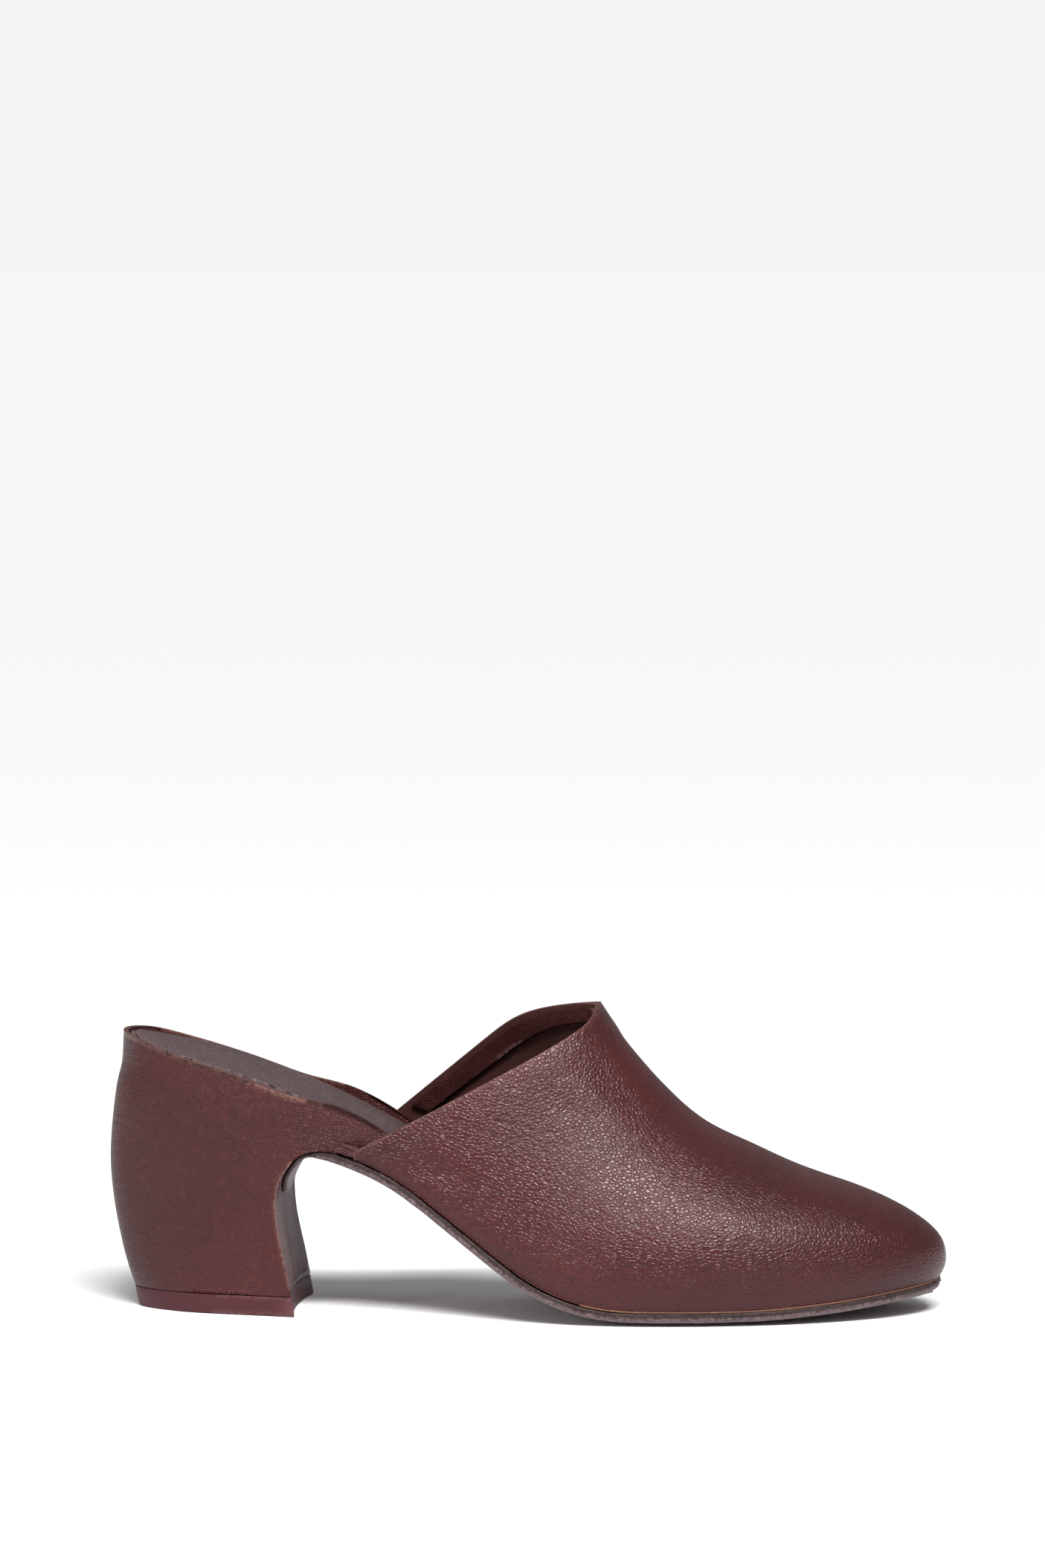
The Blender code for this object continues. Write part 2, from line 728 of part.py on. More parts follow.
def sole_edge_at(side, q):
    """Return the outsole's edge at a profile, counted as in the fullness rows."""
    if q <= 1:
        x = X_CORNER + q * (X_RIDGE_END - X_CORNER)
        return np.array((x, sole_half_width(side, x)))
    share = (X_RIDGE_END - X_TOE_START) / (X_SOLE_TOE - X_TOE_START)
    first = math.asin(share ** (OUTER_TOE_POWER / 2)) / (math.pi / 2)
    return np.array(toe_round(side, first + (1 - first) * (q - 1)))


def edge_normal(side, q):
    """Return the outward direction of the outsole's edge at a profile."""
    if q >= 2:
        return np.array((1.0, 0.0))
    before = max(q - PROFILE_STEP, 0.0)
    after = min(q + PROFILE_STEP, 2.0)
    run = sole_edge_at(side, after) - sole_edge_at(side, before)
    run = run / np.linalg.norm(run)
    return np.array((-side * run[1], side * run[0]))


def upper_point(side, q, t):
    """Return a point of the upper's outside.

    q is 0 at the collar, 1 at the ridge's end and 2 at the toe's tip. t is -1 at the feather line,
    0 at the fullest place of the side and 1 on the ridge.
    """
    normal = edge_normal(side, q)
    feather = sole_edge_at(side, q) - normal * SOLE_LEDGE
    full = feather + normal * side_bulge(q)
    foot = sole_top(feather[0]) + sole_bow(feather[0]) + CLEARANCE
    rise = foot + side_rise(q)
    if t < 0:
        share = 1 + t
        flat = feather + (full - feather) * math.sin(share * math.pi / 2)
        return np.array((flat[0], flat[1], foot + (rise - foot) * share))
    power = side_power(q)
    out = math.cos(t * math.pi / 2) ** (2 / power) if t < 1 else 0.0
    up = math.sin(t * math.pi / 2) ** (2 / power)
    along = min(q, 1.0)
    ridge = np.array((X_THROAT + along * (X_RIDGE_END - X_THROAT), ridge_sideways(along)))
    top = ridge_height(along)
    if q > 1:
        flat = ridge + (full - ridge) * out
        crest = top + RIDGE_END_SLOPE * max(flat[0] - ridge[0], 0)
        return np.array((flat[0], flat[1], rise + (crest - rise) * up))
    lean = OUTER_COLLAR_LEAN if side < 0 else INNER_COLLAR_LEAN
    turn = OUTER_COLLAR_TURN if side < 0 else INNER_COLLAR_TURN
    lean = 1 + (lean - 1) * (1 - q) ** 2
    forward = lean * up + (1 - lean) * up ** turn
    x = full[0] + (ridge[0] - full[0]) * forward
    y = ridge[1] + (full[1] - ridge[1]) * out
    return np.array((x, y, rise + (top - rise) * up))


def profile_places():
    """Return where the upper's profiles stand between the collar and the toe's tip."""
    span = X_RIDGE_END - X_CORNER
    strip = [share * FACING_WIDTH * STRIP_STRETCH / span for share in (0.0, 0.5, 1.0)]
    drop = FACING_DROP * STRIP_STRETCH / span
    first = [0.0] + [drop + place for place in strip]
    rest = np.linspace(first[-1], 1, PROFILE_STATIONS + 1)[1:]
    fan = np.linspace(1, 2, TOE_STATIONS + 1)[1:]
    return first, list(rest), list(fan)


def profile_rows():
    """Return the rows of a profile, from the feather line to the ridge."""
    tuck = list(np.linspace(-1, 0, TUCK_ROWS + 1)[:-1])
    return tuck + [(i / PROFILE_ROWS) ** RIDGE_CROWDING for i in range(PROFILE_ROWS + 1)]


def build_upper():
    """Build the one-piece upper as a hollow wall, open at the collar and underneath."""
    bm = bmesh.new()
    first, rest, fan = profile_places()
    rows = profile_rows()
    for side in (-1, 1):
        add_grid(bm, [[upper_point(side, q, t) for t in rows[::side]] for q in first + rest + fan])
    thing = finish("upper", bm, closed=False)
    thicken(thing, UPPER_WALL)
    return thing


def build_facing():
    """Build the strip of leather that faces the collar inside."""
    bm = bmesh.new()
    first = profile_places()[0][1:]
    rows = profile_rows()[TUCK_ROWS + FACING_FIRST_ROW:]
    for side in (-1, 1):
        add_grid(bm, [[upper_point(side, q, t) for t in rows[::side]] for q in first])
    bmesh.ops.remove_doubles(bm, verts=bm.verts, dist=MERGE_DISTANCE)
    bm.normal_update()
    shift = UPPER_WALL + FACING_GAP
    moved = [(vert, vert.co - vert.normal * shift) for vert in bm.verts]
    for vert, place in moved:
        vert.co = place
    thing = finish("collar_facing", bm, closed=False)
    thicken(thing, FACING_THICKNESS)
    return thing


def thicken(thing, wall):
    """Give an open surface its wall, on its inner side."""
    solid = thing.modifiers.new("wall", "SOLIDIFY")
    solid.thickness = wall
    solid.offset = -1
    solid.use_even_offset = True
    solid.use_quality_normals = True


# Colour, roughness and metallic value of each piece
FINISHES = {
    "upper": ((0.105, 0.032, 0.030), 0.42, 0.0),
    "collar_facing": ((0.080, 0.026, 0.024), 0.50, 0.0),
    "outsole": ((0.050, 0.034, 0.030), 0.50, 0.0),
    "footbed": ((0.085, 0.055, 0.055), 0.60, 0.0),
    "heel": ((0.105, 0.032, 0.030), 0.42, 0.0),
    "heel_tip": ((0.110, 0.034, 0.042), 0.62, 0.0),
}


def dress(thing):
    """Give a piece its own material."""
    colour, roughness, metallic = FINISHES[thing.name]
    material = bpy.data.materials.new(thing.name)
    material.use_nodes = True
    shader = material.node_tree.nodes["Principled BSDF"]
    shader.inputs["Base Color"].default_value = (*colour, 1.0)
    shader.inputs["Roughness"].default_value = roughness
    shader.inputs["Metallic"].default_value = metallic
    thing.data.materials.append(material)


def new_collection(name):
    """Make a collection in the scene."""
    collection = bpy.data.collections.new(name)
    bpy.context.scene.collection.children.link(collection)
    return collection


def main():
    """Build the shoe."""
    for thing in list(bpy.data.objects):
        bpy.data.objects.remove(thing)
    shoe = new_collection("leather_mule")
    cutters = new_collection("cutters")
    heel = build_heel()
    others = (build_outsole(), build_heel_tip(), build_footbed(), build_upper(), build_facing())
    for thing in (heel, *others):
        shoe.objects.link(thing)
        dress(thing)
    cutter = build_seat_cutter()
    cutters.objects.link(cutter)
    cutter.hide_render = True
    cutter.display_type = "WIRE"
    seat = heel.modifiers.new("seat", "BOOLEAN")
    seat.operation = "DIFFERENCE"
    seat.solver = "EXACT"
    seat.object = cutter


main()
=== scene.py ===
"""Visual model of the leather mule: pebbled leather, lining, creases, stitches and dressed edges."""

import logging
import math
from collections.abc import Callable, Iterable
from dataclasses import dataclass, field
from enum import Enum

import bmesh
import bpy
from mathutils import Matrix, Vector, kdtree, noise
from mathutils.bvhtree import BVHTree


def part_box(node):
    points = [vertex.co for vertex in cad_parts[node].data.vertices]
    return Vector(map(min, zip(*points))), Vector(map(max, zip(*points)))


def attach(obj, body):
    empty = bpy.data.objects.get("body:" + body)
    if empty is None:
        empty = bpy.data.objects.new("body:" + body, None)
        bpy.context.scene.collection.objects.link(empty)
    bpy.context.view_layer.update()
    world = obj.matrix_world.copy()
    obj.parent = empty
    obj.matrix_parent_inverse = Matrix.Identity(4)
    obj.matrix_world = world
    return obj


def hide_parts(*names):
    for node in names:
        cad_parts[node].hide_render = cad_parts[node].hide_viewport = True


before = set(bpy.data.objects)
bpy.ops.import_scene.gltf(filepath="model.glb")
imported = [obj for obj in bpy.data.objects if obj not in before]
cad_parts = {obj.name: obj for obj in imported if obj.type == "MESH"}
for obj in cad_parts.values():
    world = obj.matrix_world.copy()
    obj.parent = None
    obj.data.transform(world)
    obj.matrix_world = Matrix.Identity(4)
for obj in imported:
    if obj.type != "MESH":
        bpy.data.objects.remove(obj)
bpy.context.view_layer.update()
LOG = logging.getLogger("leather_mule")

Colour = tuple[float, float, float]
Point = tuple[float, float, float]


class Side(Enum):
    """The side of the shoe that something is on, as the sign of its Y."""

    OUTER = -1.0
    INNER = 1.0


class Panel(Enum):
    """Material places on a piece."""

    FACE = 0
    BACK = 1
    EDGE = 2


class Mark(Enum):
    """Vertex attributes that tell a material how near an edge is."""

    # Worn edges, and edge highlights painted into the colour.
    RUB_AND_HIGHLIGHT = "rub"
    WRINKLE = "wrinkle"


# Shader node groups


@dataclass
class GroupSketch:
    """A shader node group in the making."""

    name: str
    tree: bpy.types.NodeTree = field(init=False)
    entry: bpy.types.Node = field(init=False)
    exit: bpy.types.Node = field(init=False)

    def __post_init__(self) -> None:
        """Start the group's node tree."""
        self.tree = bpy.data.node_groups.new(self.name, "ShaderNodeTree")
        self.entry = self.tree.nodes.new("NodeGroupInput")
        self.exit = self.tree.nodes.new("NodeGroupOutput")

    def socket_in(self, name: str, kind: str, value: object = None) -> bpy.types.NodeSocket:
        """Add an input.

        Args:
            name: The socket's name.
            kind: Float, Vector or Color.
            value: The value it has where nothing is linked.

        Returns:
            The socket to link from inside the group.
        """
        socket = self.tree.interface.new_socket(name, in_out="INPUT", socket_type=f"NodeSocket{kind}")
        if value is not None:
            socket.default_value = value
        return self.entry.outputs[name]

    def socket_out(self, name: str, kind: str, source: bpy.types.NodeSocket) -> None:
        """Add an output that a node inside feeds.

        Args:
            name: The socket's name.
            kind: Float, Vector or Color.
            source: The socket that feeds it.
        """
        self.tree.interface.new_socket(name, in_out="OUTPUT", socket_type=f"NodeSocket{kind}")
        self.tree.links.new(source, self.exit.inputs[name])


def add_node(tree: bpy.types.NodeTree, kind: str, inputs: dict | None = None, **settings: object) -> bpy.types.Node:
    """Add a shader node, with its settings, and values or links for its inputs.

    Args:
        tree: The node tree.
        kind: The node's type after ShaderNode.
        inputs: Socket name or number to value or source socket.
        settings: Node properties.

    Returns:
        The node.
    """
    node = tree.nodes.new(f"ShaderNode{kind}")
    for name, value in settings.items():
        setattr(node, name, value)
    for key, value in (inputs or {}).items():
        if isinstance(value, bpy.types.NodeSocket):
            tree.links.new(value, node.inputs[key])
        else:
            node.inputs[key].default_value = value
    return node


def math_node(tree: bpy.types.NodeTree, operation: str, first: object, second: object = 0.0) -> bpy.types.NodeSocket:
    """Add a math node.

    Args:
        tree: The node tree.
        operation: The math operation.
        first: Value or socket.
        second: Value or socket.

    Returns:
        The result's socket.
    """
    return add_node(tree, "Math", {0: first, 1: second}, operation=operation).outputs[0]


def mix_colour(tree: bpy.types.NodeTree, share: object, first: object, second: object) -> bpy.types.NodeSocket:
    """Add a colour mix.

    Args:
        tree: The node tree.
        share: How much of the second colour, value or socket.
        first: Colour or socket.
        second: Colour or socket.

    Returns:
        The mixed colour's socket.
    """
    node = add_node(tree, "Mix", data_type="RGBA")
    for index, value in ((0, share), (6, first), (7, second)):
        if isinstance(value, bpy.types.NodeSocket):
            tree.links.new(value, node.inputs[index])
        elif index:
            node.inputs[index].default_value = (*value[:3], 1.0)
        else:
            node.inputs[index].default_value = value
    return node.outputs[2]


def span(tree: bpy.types.NodeTree, value: bpy.types.NodeSocket, low: object, high: object,
         to_low: float = 0.0, to_high: float = 1.0) -> bpy.types.NodeSocket:
    """Map a range onto another with soft ends.

    Args:
        tree: The node tree.
        value: The socket to map.
        low: Start of the range.
        high: End of the range.
        to_low: Result at the start.
        to_high: Result at the end.

    Returns:
        The mapped value's socket.
    """
    inputs = {0: value, 1: low, 2: high, 3: to_low, 4: to_high}
    return add_node(tree, "MapRange", inputs, interpolation_type="SMOOTHSTEP").outputs[0]


def pebble_group() -> bpy.types.NodeTree:
    """Make the pebbled grain: long round cells with fine valleys between them, and tiny pores.

    Returns:
        The node group.
    """
    sketch = GroupSketch("pebbled_grain")
    tree = sketch.tree
    place = sketch.socket_in("Vector", "Vector")
    size = sketch.socket_in("Cell", "Float", 0.0008)
    swirl = sketch.socket_in("Swirl", "Float", 0.35)
    scale = math_node(tree, "DIVIDE", 1.0, size)
    drift = add_node(tree, "TexNoise", {"Vector": place, "Scale": math_node(tree, "MULTIPLY", scale, 0.45), "Detail": 2.0})
    centred = add_node(tree, "VectorMath", {0: drift.outputs["Color"], 1: (0.5, 0.5, 0.5)}, operation="SUBTRACT")
    reach = math_node(tree, "MULTIPLY", size, swirl)
    push = add_node(tree, "VectorMath", {0: centred.outputs[0], "Scale": reach}, operation="SCALE")
    bent = add_node(tree, "VectorMath", {0: place, 1: push.outputs[0]}, operation="ADD").outputs[0]
    cells = add_node(tree, "TexVoronoi", {"Vector": bent, "Scale": scale}, feature="DISTANCE_TO_EDGE")
    domes = add_node(tree, "TexVoronoi", {"Vector": bent, "Scale": scale}, feature="SMOOTH_F1")
    domes.inputs["Smoothness"].default_value = 0.35
    valley = span(tree, cells.outputs["Distance"], 0.0, 0.28)
    dome = span(tree, domes.outputs["Distance"], 0.0, 0.75, 1.0, 0.0)
    fine = add_node(tree, "TexNoise", {"Vector": place, "Scale": math_node(tree, "MULTIPLY", scale, 3.1), "Detail": 3.0})
    broad = add_node(tree, "TexNoise", {"Vector": place, "Scale": math_node(tree, "MULTIPLY", scale, 0.3), "Detail": 2.0})
    body = math_node(tree, "ADD", math_node(tree, "MULTIPLY", valley, 0.75), math_node(tree, "MULTIPLY", dome, 0.25))
    pores = math_node(tree, "MULTIPLY", fine.outputs[0], 0.08)
    height = math_node(tree, "ADD", math_node(tree, "ADD", body, pores), math_node(tree, "MULTIPLY", broad.outputs[0], 0.6))
    sketch.socket_out("Height", "Float", height)
    # The valley mask also darkens the colour there as painted shade, and roughens it.
    sketch.socket_out("Valley", "Float", span(tree, cells.outputs["Distance"], 0.0, 0.13, 1.0, 0.0))
    return tree


def dye_and_valley_shade_group() -> bpy.types.NodeTree:
    """Make the uneven colouring and the painted valley shade: broad clouds and small mottles between three tones, and
    the dark tone painted into the grain's valleys as shade.

    Returns:
        The node group.
    """
    sketch = GroupSketch("uneven_dye_and_valley_shade")
    tree = sketch.tree
    place = sketch.socket_in("Vector", "Vector")
    base = sketch.socket_in("Base", "Color", (0.1, 0.03, 0.03, 1.0))
    dark = sketch.socket_in("Dark", "Color", (0.05, 0.02, 0.02, 1.0))
    light = sketch.socket_in("Light", "Color", (0.15, 0.05, 0.05, 1.0))
    valley = sketch.socket_in("Valley", "Float", 0.0)
    clouds = add_node(tree, "TexNoise", {"Vector": place, "Scale": 24.0, "Detail": 3.0, "Roughness": 0.5})
    specks = add_node(tree, "TexNoise", {"Vector": place, "Scale": 520.0, "Detail": 4.0, "Roughness": 0.65})
    shade = mix_colour(tree, span(tree, clouds.outputs[0], 0.25, 0.75, 0.6, 0.0), base, dark)
    warm = mix_colour(tree, span(tree, specks.outputs[0], 0.48, 0.72, 0.0, 0.6), shade, light)
    # Painted shade: the dark tone goes into the grain's valleys.
    valley_shaded = mix_colour(tree, math_node(tree, "MULTIPLY", valley, 0.8), warm, dark)
    sketch.socket_out("Color", "Color", valley_shaded)
    return tree


def wear_and_highlight_group() -> bpy.types.NodeTree:
    """Make the worn edges and the painted edge highlights: a broken mask from the piece's own edge attribute.

    Returns:
        The node group.
    """
    sketch = GroupSketch("rubbed_and_highlit_edge")
    tree = sketch.tree
    place = sketch.socket_in("Vector", "Vector")
    amount = sketch.socket_in("Amount", "Float", 1.0)
    rub = add_node(tree, "Attribute", attribute_name="rub", attribute_type="GEOMETRY").outputs["Fac"]
    broken = add_node(tree, "TexNoise", {"Vector": place, "Scale": 900.0, "Detail": 4.0, "Roughness": 0.7})
    patchy = span(tree, broken.outputs[0], 0.36, 0.60)
    mask = math_node(tree, "MULTIPLY", math_node(tree, "MULTIPLY", rub, patchy), amount)
    sketch.socket_out("Mask", "Float", mask)
    return tree


# Finishes


@dataclass(frozen=True)
class Leather:
    """A dyed leather with grain, uneven colouring, painted shade in the grain's valleys, gloss, worn edges with
    painted edge highlights, and wrinkles.
    """

    name: str
    base: Colour
    dark: Colour
    light: Colour
    rubbed_and_highlit: Colour
    cell: float = 0.00105
    swirl: float = 0.6
    stretch: Point = (1.0, 1.0, 1.0)
    turn: float = 0.0
    depth: float = 0.00012
    roughness: float = 0.33
    roughness_spread: float = 0.06
    coat: float = 0.0
    coat_roughness: float = 0.25
    specular: float = 0.30
    sheen_tint: Colour = (1.0, 0.80, 0.83)
    wear_and_highlight: float = 0.6
    ripple: float = 0.0
    ripple_scale: Point = (70.0, 70.0, 520.0)
    wrinkle: float = 0.0

    def height(self, tree: bpy.types.NodeTree, place: bpy.types.NodeSocket,
               grain: bpy.types.NodeSocket) -> bpy.types.NodeSocket:
        """Add the ripples and the wrinkles to the grain.

        Args:
            tree: The material's node tree.
            place: The surface's coordinates.
            grain: The grain's height.

        Returns:
            The whole height.
        """
        height = grain
        if self.ripple:
            lines = add_node(tree, "Mapping", {"Vector": place, "Scale": self.ripple_scale})
            ripples = add_node(tree, "TexNoise", {"Vector": lines.outputs[0], "Scale": 1.0, "Detail": 4.0})
            height = math_node(tree, "ADD", height, math_node(tree, "MULTIPLY", ripples.outputs[0], self.ripple))
        if self.wrinkle:
            near = add_node(tree, "Attribute", attribute_name=Mark.WRINKLE.value, attribute_type="GEOMETRY")
            lines = add_node(tree, "Mapping", {
                "Vector": place, "Rotation": (0.0, math.radians(-62.0), 0.0), "Scale": (900.0, 160.0, 130.0)})
            folds = add_node(tree, "TexNoise", {"Vector": lines.outputs[0], "Scale": 1.0, "Detail": 3.0})
            raised = math_node(tree, "MULTIPLY", math_node(tree, "MULTIPLY", folds.outputs[0], self.wrinkle),
                               near.outputs["Fac"])
            height = math_node(tree, "ADD", height, raised)
        return height

    def material(self, groups: "Workshop") -> bpy.types.Material:
        """Make the material.

        Args:
            groups: The shader node groups.

        Returns:
            The material.
        """
        made = bpy.data.materials.new(self.name)
        made.use_nodes = True
        tree = made.node_tree
        shader = tree.nodes["Principled BSDF"]
        place = add_node(tree, "TexCoord").outputs["Object"]
        lay = add_node(tree, "Mapping", {
            "Vector": place, "Rotation": (0.0, math.radians(self.turn), 0.0), "Scale": self.stretch}).outputs[0]
        grain = groups.place(tree, groups.pebbles, {"Vector": lay, "Cell": self.cell, "Swirl": self.swirl})
        # The colour group also paints shade into the grain's valleys.
        dye_and_shade = groups.place(tree, groups.dye_and_shade, {
            "Vector": place, "Base": (*self.base, 1.0), "Dark": (*self.dark, 1.0), "Light": (*self.light, 1.0),
            "Valley": grain.outputs["Valley"]})
        wear_and_highlight = groups.place(tree, groups.wear_and_highlight, {"Vector": place, "Amount": self.wear_and_highlight})
        # Worn edges and painted edge highlights take the fourth colour.
        colour = mix_colour(tree, wear_and_highlight.outputs["Mask"], dye_and_shade.outputs["Color"], self.rubbed_and_highlit)
        tree.links.new(colour, shader.inputs["Base Color"])
        patches = add_node(tree, "TexNoise", {"Vector": place, "Scale": 60.0, "Detail": 3.0})
        low = self.roughness - self.roughness_spread / 2
        gloss = span(tree, patches.outputs[0], 0.3, 0.7, low, low + self.roughness_spread)
        rough = math_node(tree, "ADD", gloss, math_node(tree, "MULTIPLY", grain.outputs["Valley"], 0.2))
        tree.links.new(rough, shader.inputs["Roughness"])
        height = self.height(tree, place, grain.outputs["Height"])
        bump = add_node(tree, "Bump", {"Height": height, "Distance": self.depth, "Strength": 1.0})
        tree.links.new(bump.outputs[0], shader.inputs["Normal"])
        shader.inputs["Specular IOR Level"].default_value = self.specular
        shader.inputs["Specular Tint"].default_value = (*self.sheen_tint, 1.0)
        shader.inputs["Coat Weight"].default_value = self.coat
        shader.inputs["Coat Roughness"].default_value = self.coat_roughness
        return made


class Workshop:
    """The shader node groups that the finishes share."""

    def __init__(self) -> None:
        """Build each group once."""
        self.pebbles = pebble_group()
        self.dye_and_shade = dye_and_valley_shade_group()
        self.wear_and_highlight = wear_and_highlight_group()

    def place(self, tree: bpy.types.NodeTree, group: bpy.types.NodeTree, inputs: dict) -> bpy.types.Node:
        """Place a group in a material.

        Args:
            tree: The material's node tree.
            group: The node group.
            inputs: Socket name to value or source socket.

        Returns:
            The group's node.
        """
        node = tree.nodes.new("ShaderNodeGroup")
        node.node_tree = group
        for name, value in inputs.items():
            if isinstance(value, bpy.types.NodeSocket):
                tree.links.new(value, node.inputs[name])
            else:
                node.inputs[name].default_value = value
        return node


# Its fourth colour is the painted highlight along the collar's rolled edge.
OXBLOOD = Leather(
    "oxblood_leather", (0.050, 0.0068, 0.0066), (0.016, 0.0026, 0.0026), (0.066, 0.0105, 0.0095), (0.15, 0.065, 0.052),
    stretch=(0.85, 1.0, 1.05), turn=35.0, depth=0.00010, roughness=0.32, specular=0.40, wear_and_highlight=0.5, wrinkle=2.2)
# Its fourth colour, tan, is the painted highlight along the heel's rolled rim and front edges.
HEEL_COVER = Leather(
    "heel_cover_leather", (0.053, 0.0082, 0.0078), (0.020, 0.0036, 0.0036), (0.078, 0.0150, 0.0135), (0.24, 0.12, 0.085),
    cell=0.0008, stretch=(0.8, 0.8, 1.3), depth=0.00008, roughness=0.37, specular=0.34, wear_and_highlight=0.55, ripple=2.6)
FACING = Leather(
    "facing_leather", (0.034, 0.0065, 0.0062), (0.020, 0.0042, 0.0040), (0.056, 0.013, 0.0115), (0.15, 0.09, 0.08),
    cell=0.0006, depth=0.00010, roughness=0.42, specular=0.16, wear_and_highlight=1.0, wrinkle=0.6)
LINING = Leather(
    "lining_leather", (0.046, 0.0155, 0.0135), (0.030, 0.0105, 0.0090), (0.060, 0.021, 0.018), (0.04, 0.02, 0.018),
    cell=0.0004, depth=0.00003, roughness=0.8, coat=0.0, specular=0.2, wear_and_highlight=0.0)
SOCK = Leather(
    "sock_leather", (0.108, 0.070, 0.072), (0.030, 0.017, 0.017), (0.165, 0.118, 0.120), (0.17, 0.115, 0.11),
    cell=0.0009, depth=0.00028, roughness=0.5, coat=0.0, wear_and_highlight=0.6)
# Its fourth colour is the painted highlight along the front panel's edges.
BREAST = Leather(
    "breast_leather", (0.130, 0.062, 0.064), (0.060, 0.028, 0.030), (0.180, 0.098, 0.100), (0.16, 0.085, 0.08),
    cell=0.0006, depth=0.00016, roughness=0.5, wear_and_highlight=0.3)
SOLE_EDGE = Leather(
    "sole_edge", (0.030, 0.017, 0.015), (0.016, 0.010, 0.009), (0.055, 0.036, 0.031), (0.13, 0.095, 0.08),
    cell=0.0004, depth=0.00004, roughness=0.38, coat=0.05, wear_and_highlight=0.3)
SOLE_STRIP = Leather(
    "sole_strip", (0.019, 0.012, 0.011), (0.010, 0.0065, 0.0060), (0.048, 0.034, 0.030), (0.09, 0.065, 0.055),
    cell=0.0005, depth=0.00005, roughness=0.5, coat=0.0, wear_and_highlight=0.15)
SOLE_TREAD = Leather(
    "sole_tread", (0.165, 0.118, 0.122), (0.12, 0.084, 0.087), (0.20, 0.150, 0.154), (0.034, 0.020, 0.018),
    cell=0.0005, depth=0.00003, roughness=0.45, coat=0.0, wear_and_highlight=1.0)
TIP_RUBBER = Leather(
    "tip_rubber", (0.052, 0.0125, 0.0158), (0.044, 0.0105, 0.0135), (0.060, 0.0155, 0.0190), (0.14, 0.06, 0.065),
    cell=0.0003, depth=0.00001, roughness=0.5, roughness_spread=0.06, coat=0.0, wear_and_highlight=0.5)
WELT_THREAD = Leather(
    "welt_thread", (0.160, 0.075, 0.045), (0.070, 0.032, 0.022), (0.24, 0.125, 0.075), (0.24, 0.125, 0.075),
    cell=0.0004, depth=0.00005, roughness=0.5, coat=0.0, wear_and_highlight=0.0)


# Pieces


@dataclass(frozen=True)
class Crease:
    """A soft trough with a ridge on each side, pressed into the upper along a straight line.

    The line's ends are (along, up): shares of the upper's box, from the back and from the floor.
    """

    side: Side
    start: tuple[float, float]
    end: tuple[float, float]
    depth: float
    width: float


